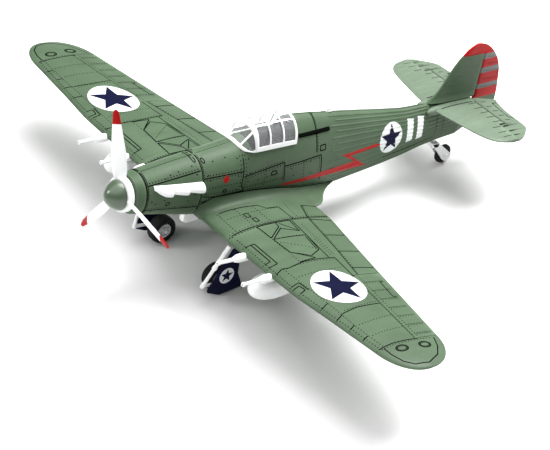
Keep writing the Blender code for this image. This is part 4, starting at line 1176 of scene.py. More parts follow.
STRINGER_TURNS = (74, 64, 54, 45, 36, 27, 18, 9, 0, -9, -18, -28, -38, -48, -58)
STRINGER_FRONT, STRINGER_HALF, STRINGER_HIGH = 164.0, 0.75, 0.34
TAIL_RIBS = (9.0, 15.0, 21.0, 27.0, 33.0, 39.0, 45.0, 50.0)
FIN_RIBS = (24.6, 30.5, 36.7, 42.2, 47.3)


class WARBIRD_OT_panel_lines(bpy.types.Operator):
    """Lay the panel lines, hatches and rivets on the skins, and raise the fabric ribs"""
    bl_idname = "warbird.panel_lines"
    bl_label = "Panel lines and rivets"

    def execute(self, context):
        for side, label in SIDES:
            self.wing(side, label)
            self.hull(side, label)
            self.tail(side, label)
        self.centre_line()
        return {"FINISHED"}

    def wing(self, side, label):
        shape = Shape()
        for upper in (True, False):
            surface = on_wing(side, upper)
            for path in WING_LINES:
                trace(shape, surface, path)
            for path in WING_STITCHES:
                rivets(shape, surface, path)
        top = on_wing(side)
        for u, v, wide, high in ((180.6, 84.1, 5.4, 8.4), (182.0, 100.6, 5.4, 8.4)):
            trace(shape, top, oval_path(u, v, wide, high))
            rivets(shape, top, oval_path(u, v, wide - 1.8, high - 1.8), pitch=1.5)
        for u, v in ((32.4, 86.0), (38.4, 88.0)):
            trace(shape, top, box_path(u, v, 4.0, 3.0))
        shape.piece(f"wing_lines_{label}", "airframe", [line_wash()], slot="moulded_green")
        ribs = Shape()
        for upper in (True, False):
            surface = on_wing(side, upper)
            for x in AILERON_RIBS:
                hinge, te = interpolate(AILERON_HINGE, x), wing_edges(x)[1]
                trace(ribs, surface, ((x, hinge + 0.6), (x, te - 1.2)), width=0.3)
                rivets(ribs, surface, ((x + 1.0, hinge + 1.5), (x + 1.0, te - 2.0)))
            start, end = AILERON_X
            rivets(ribs, surface, [(x, interpolate(AILERON_HINGE, x) + 1.4) for x in (start + 1, end - 1)])
        for tab in (((118.0, 121.6), (118.0, 127.0)), ((118.0, 121.6), (134.0, 118.4), (134.0, 124.0))):
            trace(ribs, top, tab)
        ribs.piece(f"aileron_lines_{label}", f"aileron_{label}", [line_wash()], slot="moulded_green")

    def hull(self, side, label):
        shape = Shape()
        surface, ring_surface = on_hull(side), on_ring(side)
        for path in HULL_LINES:
            trace(shape, surface, path)
        for path in HULL_STITCHES:
            rivets(shape, surface, path)
        for u, v, wide, high in HULL_HATCHES:
            trace(shape, surface, box_path(u, v, wide, high))
        for y, start, end in HULL_RINGS:
            turns = span_steps(start, end, 4.0)
            trace(shape, ring_surface, [(y, turn) for turn in turns])
            for turn in turns:
                if abs(turn) < 87:
                    rivets(shape, ring_surface, [(y + 0.95, turn - 0.5), (y + 0.95, turn + 0.5)])
        for y, z in HULL_SCREWS:
            rivets(shape, surface, ((y - 0.1, z), (y + 0.1, z)), radius=0.52)
        for y, z, wide in HULL_PORTS:
            trace(shape, surface, oval_path(y, z, wide, wide, 16))
        crest = [(y, smooth_curve(FILLET_CREST, y)) for y in span_steps(63.4, 172.0, 4.0)]
        trace(shape, surface, crest, lift=0.22)
        rivets(shape, surface, [(y, z + 1.2) for y, z in crest[:-4]])
        shape.piece(f"fuselage_lines_{label}", "airframe", [line_wash()], slot="moulded_green")
        ribs = Shape()
        for number, turn in enumerate(STRINGER_TURNS):
            end = 252 if turn > 45 else 286
            start = STRINGER_FRONT + 5 * (number % 2)
            path = [(y, turn) for y in span_steps(start, end, 8.0)]
            trace(ribs, ring_surface, path, width=2 * STRINGER_HALF, lift=0.0, ridge=STRINGER_HIGH)
        ribs.piece(f"stringers_{label}", "airframe", [green_skin()], slot="moulded_green", oriented=True)

    def tail(self, side, label):
        fixed, moving = Shape(), Shape()
        fixed_ribs, moving_ribs = Shape(), Shape()
        for upper in (True, False):
            surface = on_tail(side, upper)
            for x in TAIL_RIBS:
                le, te = smooth_curve(TAILPLANE_LE, x), smooth_curve(ELEVATOR_TE, x)
                hinge = 286.4 if x > HORN_X else TAIL_HINGE_Y
                rear = hinge - 3.4 if x < HORN_X else 284.6
                trace(fixed_ribs, surface, ((x, le + 3.0), (x, rear)), width=0.8, lift=0.0, ridge=0.2)
                trace(moving_ribs, surface, ((x, hinge + 1.4), (x, te - 1.4)), width=0.8, lift=0.0,
                      ridge=0.2)
                trace(fixed, surface, ((x + 0.6, rear - 7.0), (x + 0.6, rear)), width=0.5)
                trace(moving, surface, ((x + 0.6, hinge + 1.0), (x + 0.6, hinge + 5.6)), width=0.5)
            trace(moving, surface, ((12.0, 307.6), (12.6, 302.6), (30.6, 300.8), (31.4, 304.4)))
            trace(fixed, surface, ((7.4, 261.0), (7.4, 289.0)))
            trace(fixed, surface, ((7.0, 290.6), (36.0, 290.6)), width=0.6)
        fixed.piece(f"tailplane_lines_{label}", "airframe", [line_wash()], slot="moulded_green")
        moving.piece(f"elevator_lines_{label}", "elevators", [line_wash()], slot="moulded_green")
        fixed_ribs.piece(f"tailplane_ribs_{label}", "airframe", [tail_skin_painted_light()], slot="moulded_green",
                         oriented=True)
        moving_ribs.piece(f"elevator_ribs_{label}", "elevators", [tail_skin_painted_light()], slot="moulded_green",
                          oriented=True)
        surface = on_fin(side)
        ribs, marks = Shape(), Shape()
        for z in FIN_RIBS:
            le = smooth_curve(FIN_LE, z)
            trace(ribs, surface, ((le + 2.0, z), (293.6, z - 0.4)), width=0.6, lift=0.0, ridge=0.16)
            te = smooth_curve(RUDDER_TE, z)
            trace(marks, surface, ((299.6, z - 0.5), (te - 1.6, z - 1.4)), width=0.24)
        trace(marks, surface, ((313.4, 31.0), (313.4, 37.0)), width=0.3)
        ribs.piece(f"fin_ribs_{label}", "airframe", [green_skin()], slot="moulded_green", oriented=True)
        marks.piece(f"rudder_lines_{label}", "rudder", [line_wash()], slot="red_paint")

    def centre_line(self):
        """Seam along the top of the hull."""
        shape = Shape()
        surface = on_ring(1)
        for y0, y1 in ((23.0, 61.0), (63.0, 90.0), (138.0, 252.0)):
            trace(shape, surface, [(y, 90.0) for y in span_steps(y0, y1, 6.0)], width=0.4)
        shape.piece("spine_seam", "airframe", [line_wash()], slot="moulded_green")


# ---------------------------------------------------------------- markings
class WARBIRD_OT_markings(bpy.types.Operator):
    """Lay the plain discs and stars, the side bars and the red flash"""
    bl_idname = "warbird.markings"
    bl_label = "Markings"

    def execute(self, context):
        radius, wing_at, side_at = sizes().disc_radius / MM, (116.2, 90.2), (218.5, 4.6)
        flash = (((125.0, -6.9), (186.6, -4.2), (199.6, -10.7), (126.1, -8.3)),
                 ((186.6, -4.2), (173.8, 3.0), (182.0, 0.5), (199.6, -10.7)),
                 ((173.8, 3.0), (207.6, 3.7), (207.8, 1.8), (182.0, 0.5)))
        badge = ((79.0, 8.4), (81.6, 5.4), (79.0, 2.4), (76.4, 5.4))
        for side, label in SIDES:
            shape = Shape()
            surface = on_wing(side)
            disc(shape, surface, wing_at, radius)
            disc(shape, surface, wing_at, star_reach(radius * 0.95), STAR_LIFT, 1)
            self.finish(shape, f"wing_disc_{label}")
            shape = Shape()
            surface = on_stringers(side)
            disc(shape, surface, side_at, 10.3, rings=34)
            disc(shape, surface, side_at, star_reach(9.8), SIDE_STAR_LIFT, 1, rings=34)
            for y in (233.6, 243.2):
                patch(shape, surface, ((y, -1.8), (y + 5.6, -1.4), (y + 5.6, 13.0), (y, 14.0)),
                      steps=(48, 6))
            self.finish(shape, f"side_disc_{label}")
            shape = Shape()
            for corners in flash:
                patch(shape, surface, corners, steps=(16, 60))
            patch(shape, surface, badge, steps=(4, 4))
            shape.piece(f"flash_{label}", "airframe", [red_paint()], slot="red_paint")
        return {"FINISHED"}

    def finish(self, shape, name):
        """White discs and bars with their navy stars."""
        shape.piece(name, "airframe", [decal_white(), navy_paint()], slot="white_plastic")


# ---------------------------------------------------------------- canopy
def arch(y, half, crown, base, turn):
    """Point of the hood at an angle round its section, from the port sill over the crown."""
    across, up = superellipse(math.radians(turn), HOOD_POWER)
    return Vector((half * across, y, base + (crown - base) * up))


def sill_turn(height):
    """Angle round the hood's section at which it meets the sill."""
    rise = (SILL_Z + GAP - HOOD_BASE) / height
    return math.degrees(math.asin(max(0.0, rise) ** (HOOD_POWER / 2)))


def hood_crown(y):
    """Height of the top of the hood at y."""
    return ARCH_Z + smooth_curve(((HOOD_FRONT, 0.0), (111.0, 0.8), (122.0, 1.0), (HOOD_REAR, 0.6)), y)


def shell_grid(shape, outer, inner, keep, tone=0):
    """Skin two matching grids of points where keep says so, and close every open edge."""
    rows, columns = len(outer), len(outer[0])
    top = [shape.add(row) for row in outer]
    low = [shape.add(row) for row in inner]

    def kept(i, j):
        return 0 <= i < rows - 1 and 0 <= j < columns - 1 and keep(i, j)
    for i in range(rows - 1):
        for j in range(columns - 1):
            if not kept(i, j):
                continue
            shape.face((top[i][j], top[i][j + 1], top[i + 1][j + 1], top[i + 1][j]), tone)
            shape.face((low[i + 1][j], low[i + 1][j + 1], low[i][j + 1], low[i][j]), tone)
            for di, dj, a, b in ((-1, 0, (i, j), (i, j + 1)), (1, 0, (i + 1, j + 1), (i + 1, j)),
                                 (0, -1, (i + 1, j), (i, j)), (0, 1, (i, j + 1), (i + 1, j + 1))):
                if not kept(i + di, j + dj):
                    shape.face((top[b[0]][b[1]], top[a[0]][a[1]], low[a[0]][a[1]], low[b[0]][b[1]]), tone)


class WARBIRD_OT_canopy(bpy.types.Operator):
    """Build the sliding hood and the windscreen: white bars over clear mouldings"""
    bl_idname = "warbird.canopy"
    bl_label = "Canopy"

    def execute(self, context):
        self.hood()
        self.windscreen()
        return {"FINISHED"}

    def hood_grid(self, rows, turns, inset):
        """Points of the hood, row by row, pulled in by inset."""
        grid = []
        for y in rows:
            height = hood_crown(y) - HOOD_BASE
            start = sill_turn(height)
            grid.append([arch(y, HOOD_HALF - inset, hood_crown(y) - inset, HOOD_BASE,
                              start + (180.0 - 2 * start) * turn) for turn in turns])
        return grid

    def hood(self):
        # bars across run along Y; bars along the hood are shares of its section
        bars = ((100.9, 102.2), (111.0, 111.9), (121.4, 122.3), (131.2, HOOD_REAR))
        rows = []
        for (_, a), (b, _) in zip(bars, bars[1:]):
            rows += [a] + span_steps(a, b, 2.4)[1:]
        rows = [bars[0][0]] + rows + [HOOD_REAR]
        rails = ((0.0, 0.05), (0.345, 0.37), (0.63, 0.655), (0.95, 1.0))
        edges = [edge for rail in rails for edge in rail]
        turns = []
        for a, b in zip(edges, edges[1:]):
            turns += span_steps(a, b, 0.045)[:-1]
        turns.append(edges[-1])

        def keep(i, j):
            y, t = (rows[i] + rows[i + 1]) / 2, (turns[j] + turns[j + 1]) / 2
            return any(a < y < b for a, b in bars) or any(a < t < b for a, b in rails)
        frame_shape = Shape()
        shell_grid(frame_shape, self.hood_grid(rows, turns, 0.0), self.hood_grid(rows, turns, 0.7), keep)
        frame_shape.piece("hood_frame", "canopy", [white_plastic()], ["canopy_frame"], "white_plastic")
        glass = Shape()
        shell_grid(glass, self.hood_grid(rows, turns[1:-1], 0.8), self.hood_grid(rows, turns[1:-1], 1.2),
                   lambda i, j: True)
        glass.piece("hood_glass", "canopy", [clear_moulding()], ["canopy_glass"], "clear_canopy")

    def screen_grid(self, turns, rows, inset):
        """Points of the windscreen, from the deck back to the hood's front arch."""
        start = sill_turn(ARCH_Z - HOOD_BASE)
        grid = []
        for turn in turns:
            back = arch(HOOD_FRONT, HOOD_HALF - inset, ARCH_Z - inset, HOOD_BASE,
                        start + (180.0 - 2 * start) * turn)
            share = abs(2 * turn - 1)
            y = SCREEN_Y + inset * 1.4 + 8.2 * share ** 2.2
            reach = (HOOD_HALF - 0.6 - inset) * math.copysign(share ** 0.75, back.x)
            half, top, _ = station(y)
            power = deck_power(y)
            deck = top * (1.0 - min(abs(reach) / half, 1.0) ** power) ** (1.0 / power)
            front = Vector((reach, y, max(deck + GAP, SILL_Z + GAP)))
            grid.append([front.lerp(back, row) for row in rows])
        return grid

    def windscreen(self):
        turns = sorted(set(span_steps(0.0, 1.0, 0.04) + [0.03, 0.29, 0.33, 0.67, 0.71, 0.97]))
        rows = [0.0, 0.1, 0.3, 0.5, 0.7, 0.87, 1.0]
        bars = ((0.0, 0.03), (0.29, 0.33), (0.67, 0.71), (0.97, 1.0))

        def keep(i, j):
            t, r = (turns[i] + turns[i + 1]) / 2, (rows[j] + rows[j + 1]) / 2
            return r < 0.1 or r > 0.87 or any(a < t < b for a, b in bars)
        shape = Shape()
        shell_grid(shape, self.screen_grid(turns, rows, 0.0), self.screen_grid(turns, rows, 0.7), keep)
        shape.piece("windscreen_frame", "airframe", [white_plastic()], ["windscreen"], "white_plastic")
        glass = Shape()
        shell_grid(glass, self.screen_grid(turns[1:-1], rows, 0.75),
                   self.screen_grid(turns[1:-1], rows, 1.1), lambda i, j: True)
        glass.piece("windscreen_glass", "airframe", [clear_moulding()], slot="clear_canopy")


class WARBIRD_OT_cockpit(bpy.types.Operator):
    """Finish the cockpit, the slide rails and the aerial mast"""
    bl_idname = "warbird.cockpit"
    bl_label = "Cockpit and rails"

    def execute(self, context):
        for node in ("cockpit_tub", "pilot_seat", "headrest", "instrument_panel"):
            material_slots(node, black_plastic())
        dials = Shape()
        dial = [(0.02, 0.0), (0.02, 1.0), (0.3, 1.2), (0.3, 0.0)]
        for x in (-4.8, -1.6, 1.6, 4.8):
            for z in (10.4, 14.4):
                dials.turned(dial, (x, 102.0, z), (0, 1, 0), 20)
        dials.piece("dial_faces", "airframe", [decal_white()], slot="white_plastic")
        front, rear, half = 135.0, 162.0, 1.0
        for side, label in SIDES:
            rings = []
            for y in span_steps(front, rear, 1.5):
                z = 22.6 - 0.02 * (y - front)
                low, high = z - half, z + half
                foot_low, foot_high = half_width(y, low) + SEAT, half_width(y, high) + SEAT
                port = [(foot_low, y, low), (foot_low + 0.5, y, low), (foot_low + 0.6, y, z),
                        (foot_high + 0.5, y, high), (foot_high, y, high)]
                rings.append(mirrored(port, side))
            Shape().loft(rings).piece(f"hood_rail_{label}", "airframe", [line_wash()],
                                      [f"canopy_rail_{label}"], "black_plastic")
        # the mast stub is oval: height, front, rear and half width
        rings = []
        for z, front, rear, wide in ((28.6, 164.6, 169.6, 0.9), (29.4, 164.9, 169.3, 0.8),
                                     (30.6, 165.2, 169.1, 0.7), (31.3, 165.4, 169.0, 0.6),
                                     (31.5, 165.9, 168.5, 0.3)):
            middle, long = (front + rear) / 2, (rear - front) / 2
            rings.append([(wide * math.cos(a), middle + long * math.sin(a), z) for a in circle(24)])
        Shape().loft(rings).piece("mast", "airframe", [white_plastic()], ["aerial_mast"], "white_plastic")
        return {"FINISHED"}


# ---------------------------------------------------------------- propeller
class WARBIRD_OT_propeller(bpy.types.Operator):
    """Build the spinner and the hub with its three twisted blades"""
    bl_idname = "warbird.propeller"
    bl_label = "Propeller"

    def execute(self, context):
        profile = [(0.0, 0.0)]
        for k in range(1, 21):
            share = (k / 20) ** 1.4
            profile.append((9.4 * share, 9.5 * (1.0 - (1.0 - share * 0.94) ** 1.6) ** 0.62))
        profile += [(9.6, 9.4), (9.75, 9.2), (9.9, 9.4), (10.0, 9.4), (10.0, 0.0)]
        Shape().turned(profile, (0, 0, 0), (0, 1, 0), 64).piece(
            "spinner_cone", "propeller", [spinner_skin()], ["spinner"], "moulded_green", sharp=30.0)
        shape = Shape()
        profile = [(10.4, 0.0), (10.4, HUB_R - 0.9), (10.7, HUB_R - 0.2), (11.1, HUB_R), (14.2, HUB_R),
                   (14.5, HUB_R - 0.3), (14.6, HUB_R - 0.9), (14.6, 0.0)]
        shape.turned(profile, (0, 0, 0), (0, 1, 0), 64)
        # blade sections: radius, chord, thickness and pitch in degrees
        round_from, paint_from = 46.0, 42.1
        sections = ((6.0, 6.0, 2.8, 42.0), (11.0, 8.0, 2.3, 40.0), (17.0, 9.8, 2.0, 36.0),
                    (24.0, 9.8, 1.6, 31.0), (32.0, 8.4, 1.3, 27.0), (41.0, 6.6, 1.1, 23.0),
                    (47.0, 4.8, 0.9, 21.0), (PROP_R, 1.8, 0.7, 20.0))
        columns = [[(s[0], s[i]) for s in sections] for i in (1, 2, 3)]
        radii = [9.0, 10.6, 12.0, 14.0, 17.0, 20.0, 23.0, 26.0, 29.0, 32.0, 35.0, 38.0, 40.0, 42.2, 44.0,
                 46.0, 47.6, 49.0, 50.0, 50.5, PROP_R]
        for angle in BLADE_ANGLES:
            spin = Matrix.Rotation(math.radians(angle), 3, "Y")
            rings = []
            for radius in radii:
                chord, thick, pitch = [smooth_curve(column, radius) for column in columns]
                if radius > round_from:
                    share = (radius - round_from) / (PROP_R + 0.05 - round_from)
                    chord = 4.9 * (1.0 - share ** 2.2) ** 0.5 + 0.3
                twist = math.radians(90.0 - pitch)
                ring = []
                for a in circle(20):
                    u = chord / 2 * math.cos(a)
                    v = thick / 2 * math.sin(a) * (1.0 - 0.35 * math.cos(a))
                    across = u * math.sin(twist) - v * math.cos(twist)
                    along = u * math.cos(twist) + v * math.sin(twist)
                    ring.append(spin @ Vector((across, PROP_Y + along, radius)))
                rings.append(ring)
            shape.loft(rings, tone=lambda k: 1 if radii[k] >= paint_from else 0)
        shape.piece("propeller_blades", "propeller", [white_plastic(), red_paint()], ["propeller"],
                    "white_plastic")
        return {"FINISHED"}


class WARBIRD_OT_power(bpy.types.Operator):
    """Finish the motor, cell, receiver and servos inside the shells"""
    bl_idname = "warbird.power"
    bl_label = "Power and radio"

    def execute(self, context):
        for node in ("motor_mount", "battery", "rudder_servo", "elevator_servo", "aileron_servo"):
            material_slots(node, black_plastic())
        for node in ("motor", "prop_shaft", "elevator_joiner"):
            material_slots(node, bright_steel())
        material_slots("receiver_board", circuit_green())
        return {"FINISHED"}


# ---------------------------------------------------------------- stores
def duct_ring(y, half, top, low, corner, steps):
    """Section of a duct under the hull: open to it at the top, with rounded lower corners."""
    port = [(half, y, top)]
    for a in quarter(steps):
        port.append((half - corner + corner * math.cos(a), y, low + corner - corner * math.sin(a)))
    return port + far_half(port)


class WARBIRD_OT_stores(bpy.types.Operator):
    """Build the four cannons, the two drop tanks, the radiator bath and the air scoop"""
    bl_idname = "warbird.stores"
    bl_label = "Stores and ducts"

    def execute(self, context):
        for side, label in SIDES:
            self.cannon(side, f"{label}_inner", 60.8)
            self.cannon(side, f"{label}_outer", 85.5)
            self.tank(side, label)
        self.radiator()
        self.scoop()
        return {"FINISHED"}

    def cannon(self, side, label, x):
        """Cannon barrel with a muzzle ring and a fairing into the leading edge."""
        muzzle, buried = 43.0, 2.0
        z = interpolate(WING_Z, x) - 1.5
        length = wing_edges(x)[0] + buried - muzzle
        profile = [(1.6, 0.0), (1.6, 0.75), (0.0, 0.8), (0.0, 1.3), (0.5, 1.4), (1.6, 1.4), (2.0, 1.1),
                   (6.0, 1.15), (12.6, 1.3), (13.0, 1.9), (14.6, 2.3), (15.4, 2.6), (18.0, 2.7),
                   (length, 2.5), (length, 0.0)]
        Shape().turned(profile, (side * x, muzzle, z), (0, 1, 0), 28).piece(
            f"cannon_barrel_{label}", "airframe", [white_plastic()], [f"cannon_{label}"], "white_plastic")

    def tank(self, side, label):
        """Drop tank with two bands, on a slim pylon."""
        x, nose, tail, z, radius = 75.6, 59.5, 112.0, -32.6, 8.4

        def reach_at(share):
            return radius * max(0.0, math.sin(math.pi * share ** 0.62)) ** 0.7
        shares = [(1 - math.cos(math.pi * k / 40)) / 2 for k in range(41)]
        profile = [(nose + (tail - nose) * share, reach_at(share)) for share in shares]
        shape = Shape().turned(profile, (side * x, 0, z), (0, 1, 0), 44)
        for y in (76.0, 92.0):
            reach = reach_at((y - nose) / (tail - nose))
            band = [(y - 0.5, reach - 0.2), (y - 0.4, reach + 0.12), (y + 0.4, reach + 0.12),
                    (y + 0.5, reach - 0.2)]
            shape.turned(band, (side * x, 0, z), (0, 1, 0), 44)
        rings = []
        for share in span_steps(0.0, 1.0, 1 / 12):
            y = 74.0 + 20.0 * share
            half = 0.5 + 1.4 * math.sin(math.pi * min(max(share, 0.02), 0.98)) ** 0.6
            top = wing_surface(x, y)[1] - 0.12
            rings.append([(side * x - half, y, -30.0), (side * x + half, y, -30.0),
                          (side * x + half, y, top), (side * x - half, y, top)])
        shape.loft(rings)
        shape.piece(f"tank_{label}", "airframe", [white_plastic()], [f"drop_tank_{label}"],
                    "white_plastic")

    def radiator(self):
        """Radiator bath with an open mouth and a finned core."""
        rings = []
        for y in span_steps(98.0, 134.0, 2.0):
            half = smooth_curve(((98.0, 8.0), (101.0, 9.0), (118.0, 9.0), (134.0, 6.0)), y)
            low = smooth_curve(((98.0, -33.5), (101.0, -35.2), (118.0, -35.2), (134.0, -29.5)), y)
            top = hull_point(1, y, -66.0)[2] + 0.6
            rings.append(duct_ring(y, half, top, low, 2.5, 8))
        bath = Shape().loft(rings).piece("radiator_skin", "airframe", [green_skin()], ["radiator_bath"],
                                         "moulded_green")
        cut(bath, block_rings((-6.6, 96.0, -33.6), (6.6, 103.0, -27.6)))
        core = Shape()
        core.loft(block_rings((-6.5, 102.2, -33.5), (6.5, 102.8, -27.7)))
        for k in range(12):
            x = -6.0 + k * 12.0 / 11
            core.loft(block_rings((x - 0.12, 101.6, -33.5), (x + 0.12, 102.3, -27.7)))
        core.piece("radiator_core", "airframe", [black_plastic()], slot="black_plastic")

    def scoop(self):
        """Small air scoop under the nose."""
        rings = []
        for y in span_steps(63.4, 84.0, 1.4):
            half = smooth_curve(((63.4, 2.0), (66.0, 2.8), (75.0, 2.8), (84.0, 1.4)), y)
            low = smooth_curve(((63.4, -29.6), (66.0, -30.6), (75.0, -29.8), (84.0, -26.6)), y)
            rings.append(duct_ring(y, half, station(y)[2] + 0.4, low, 1.2, 6))
        Shape().loft(rings).piece("scoop_skin", "airframe", [white_plastic()], ["air_scoop"],
                                  "white_plastic")


# ---------------------------------------------------------------- undercarriage
class WARBIRD_OT_gear(bpy.types.Operator):
    """Build the legs, doors and main wheels, and the steered tail wheel"""
    bl_idname = "warbird.gear"
    bl_label = "Undercarriage"

    def execute(self, context):
        for side, label in SIDES:
            self.leg(side, label)
            self.door(side, label)
            self.wheel(side, label)
        self.tail_wheel()
        return {"FINISHED"}

    def leg(self, side, label):
        """Sprung leg, trailing arm, axle and collar."""
        head, foot = Vector((side * 43.4, 66.6, -22.6)), Vector((side * LEG_X, 58.6, -54.4))
        axle = Vector((side * LEG_X, WHEEL_Y, WHEEL_Z))
        run = foot - head
        long = run.length
        shape = Shape()
        profile = [(0.0, 0.0), (0.0, 1.3), (long * 0.50, 1.3), (long * 0.52, 1.6), (long * 0.57, 1.6),
                   (long * 0.59, 1.1), (long * 0.93, 1.1), (long * 0.94, 1.4), (long + 0.8, 1.4),
                   (long + 1.3, 1.0), (long + 1.3, 0.0)]
        shape.turned(profile, head, run, 28)
        arm = [(0.0, 0.0), (0.0, 1.1), (16.2, 1.1), (17.0, 0.8), (17.0, 0.0)]
        stub = [(0.0, 0.0), (0.0, 1.0), (12.8, 1.0), (12.8, 0.0)]
        collar = [(-1.2, 0.0), (-1.2, 1.7), (-0.9, 2.0), (0.9, 2.0), (1.2, 1.7), (1.2, 0.0)]
        shape.turned(arm, foot, axle - foot, 20)
        shape.turned(stub, (side * (LEG_X + 0.4), WHEEL_Y, WHEEL_Z), (-side, 0, 0), 24)
        shape.turned(collar, axle, (1, 0, 0), 24)
        shape.piece(f"leg_{label}", "airframe", [white_plastic()], [f"gear_leg_{label}"], "white_plastic")

    def door(self, side, label):
        """Door plate with bevelled edges and its marking."""
        outline = [(60.5, -56.6), (74.5, -30.0), (76.5, -28.9), (82.0, -28.5), (81.8, -38.5), (82.5, -48.1),
                   (87.5, -57.8), (86.6, -59.2), (80.5, -60.2), (70.4, -61.6), (61.4, -58.2)]
        middle = (sum(p[0] for p in outline) / len(outline), sum(p[1] for p in outline) / len(outline))
        inner, outer = 38.2, 39.2

        def ring(x, shrink):
            return [(side * x, middle[0] + (y - middle[0]) * shrink, middle[1] + (z - middle[1]) * shrink)
                    for y, z in outline]
        edge = 0.15
        shape = Shape().loft([ring(inner, 0.975), ring(inner + edge, 1.0), ring(outer - edge, 1.0),
                              ring(outer, 0.975)])
        shape.piece(f"door_{label}", "airframe", [navy_paint()], [f"gear_door_{label}"], "navy_paint",
                    sharp=20.0)
        mark = Shape()

        def outer_face(y, z, lift):
            return Vector((side * (outer + lift), y, z)), Vector((side, 0, 0))
        disc(mark, outer_face, (73.6, -48.2), 5.5, rings=4)
        disc(mark, outer_face, (73.6, -48.2), star_reach(4.9), STAR_LIFT, 1, rings=4)
        mark.piece(f"door_mark_{label}", "airframe", [decal_white(), navy_paint()], slot="white_plastic")

    def wheel(self, side, label):
        """Grooved tyre and a spoked hub."""
        centre, half, bead = (side * WHEEL_X, WHEEL_Y, WHEEL_Z), WHEEL_W / 2, 4.9
        profile = []
        for a in circle(48):
            across, outward = superellipse(a, 2.0 / 0.7)
            radial = (WHEEL_R + bead) / 2 + (WHEEL_R - bead) / 2 * outward
            groove = radial > WHEEL_R - 0.5 and abs(round(across * 3.0) - across * 3.0) < 0.22
            profile.append((half * across, radial - (0.22 if groove else 0.0)))
        Shape().turned(profile, centre, (1, 0, 0), 72, loop=True).piece(
            f"tyre_{label}", f"main_wheel_{label}", [tyre_rubber()], [f"main_tyre_{label}"], "tyre_rubber",
            sharp=50.0)
        shape = Shape()
        rim = bead - 0.1
        band = [(-3.4, rim - 0.9), (-3.6, rim), (-3.0, rim), (3.0, rim), (3.6, rim), (3.4, rim - 0.9)]
        boss = [(-3.5, 1.2), (-3.5, 1.9), (-3.1, 2.2), (3.1, 2.2), (3.5, 1.9), (3.5, 1.2)]
        shape.turned(band, centre, (1, 0, 0), 48, loop=True)
        shape.turned(boss, centre, (1, 0, 0), 32, loop=True)
        deep = Vector((2.6, 0, 0))
        for a in circle(8):
            across = Vector((0, math.cos(a), math.sin(a)))
            beside = Vector((0, -math.sin(a), math.cos(a)))
            rings = []
            for radius, thick in ((2.0, 0.75), (rim - 0.7, 0.55)):
                middle, edge = Vector(centre) + across * radius, beside * thick
                rings.append([middle + edge + deep, middle + edge - deep, middle - edge - deep,
                              middle - edge + deep])
            shape.loft(rings)
        shape.piece(f"hub_{label}", f"main_wheel_{label}", [hub_metal()], [f"main_hub_{label}"],
                    "hub_grey")

    def tail_wheel(self):
        """Steered fork with its tyre and hub."""
        y, z = TAIL_WHEEL_Y, TAIL_WHEEL_Z
        shape = Shape()
        shape.loft(block_rings((-3.7, STEER_Y - 2.6, -15.6), (3.7, STEER_Y + 3.0, -12.6)))
        outline = [(STEER_Y - 2.6, -13.0), (STEER_Y + 3.6, -13.0), (y + 3.8, z + 1.2), (y + 4.1, z - 0.6),
                   (y + 3.4, z - 2.4), (y + 1.2, z - 3.4), (y - 1.0, z - 3.5), (y - 2.4, z - 2.8)]
        for side in (1, -1):
            shape.loft([[(side * x, a, b) for a, b in outline] for x in (2.3, 3.7)])
            shape.turned([(0.0, 0.0), (0.0, 1.5), (0.5, 1.3), (0.5, 0.0)], (side * 3.65, y, z),
                         (side, 0, 0), 20)
        shape.turned([(0.0, 0.0), (0.0, 1.2), (7.4, 1.2), (7.4, 0.0)], (0, STEER_Y, -13.4), (0, 0, 1), 20)
        shape.turned([(0.0, 0.0), (0.0, 0.8), (6.0, 0.8), (6.0, 0.0)], (-3.0, y, z), (1, 0, 0), 16)
        shape.piece("fork", "tail_fork", [white_plastic()], ["tail_fork"], "white_plastic", sharp=30.0)
        half, bead = TAIL_WHEEL_W / 2, 3.2
        profile = [(-half, bead), (-half, 4.6), (-half + 0.3, 5.6), (-half + 0.9, 6.35),
                   (-0.6, TAIL_WHEEL_R), (0.6, TAIL_WHEEL_R), (half - 0.9, 6.35), (half - 0.3, 5.6),
                   (half, 4.6), (half, bead)]
        Shape().turned(profile, (0, y, z), (1, 0, 0), 56, loop=True).piece(
            "tail_tyre_skin", "tail_wheel", [tyre_rubber()], ["tail_tyre"], "tyre_rubber")
        hub = [(-1.6, 1.0), (-1.6, 1.7), (-1.1, 2.0), (-1.1, 2.6), (-1.6, bead - 0.1), (1.6, bead - 0.1),
               (1.1, 2.6), (1.1, 2.0), (1.6, 1.7), (1.6, 1.0)]
        Shape().turned(hub, (0, y, z), (1, 0, 0), 40, loop=True).piece(
            "tail_hub_disc", "tail_wheel", [hub_metal()], ["tail_hub"], "hub_grey")


# ---------------------------------------------------------------- stage
CAMERA_AT = (0.9087, -0.7997, 0.8814)
CAMERA_TURN = (53.56, -3.916, 52.432)      # degrees round X, Y and Z
LENS = 152.5


def area_light(name, place_at, aim, power, size):
    """Square lamp of a size in metres and a power in watts."""
    data = bpy.data.lights.new(name, "AREA")
    data.energy, data.size = power, size
    put_light(name, data, place_at, aim)


def soft_sun(name, place_at, strength, spread):
    """Sun that shines from a direction and is spread over some degrees."""
    data = bpy.data.lights.new(name, "SUN")
    data.energy, data.angle = strength, math.radians(spread)
    put_light(name, data, place_at, (0, 0, 0))


def put_light(name, data, place_at, aim):
    obj = bpy.data.objects.new(name, data)
    bpy.context.scene.collection.objects.link(obj)
    obj.location = place_at
    obj.rotation_euler = (Vector(aim) - Vector(place_at)).to_track_quat("-Z", "Y").to_euler()


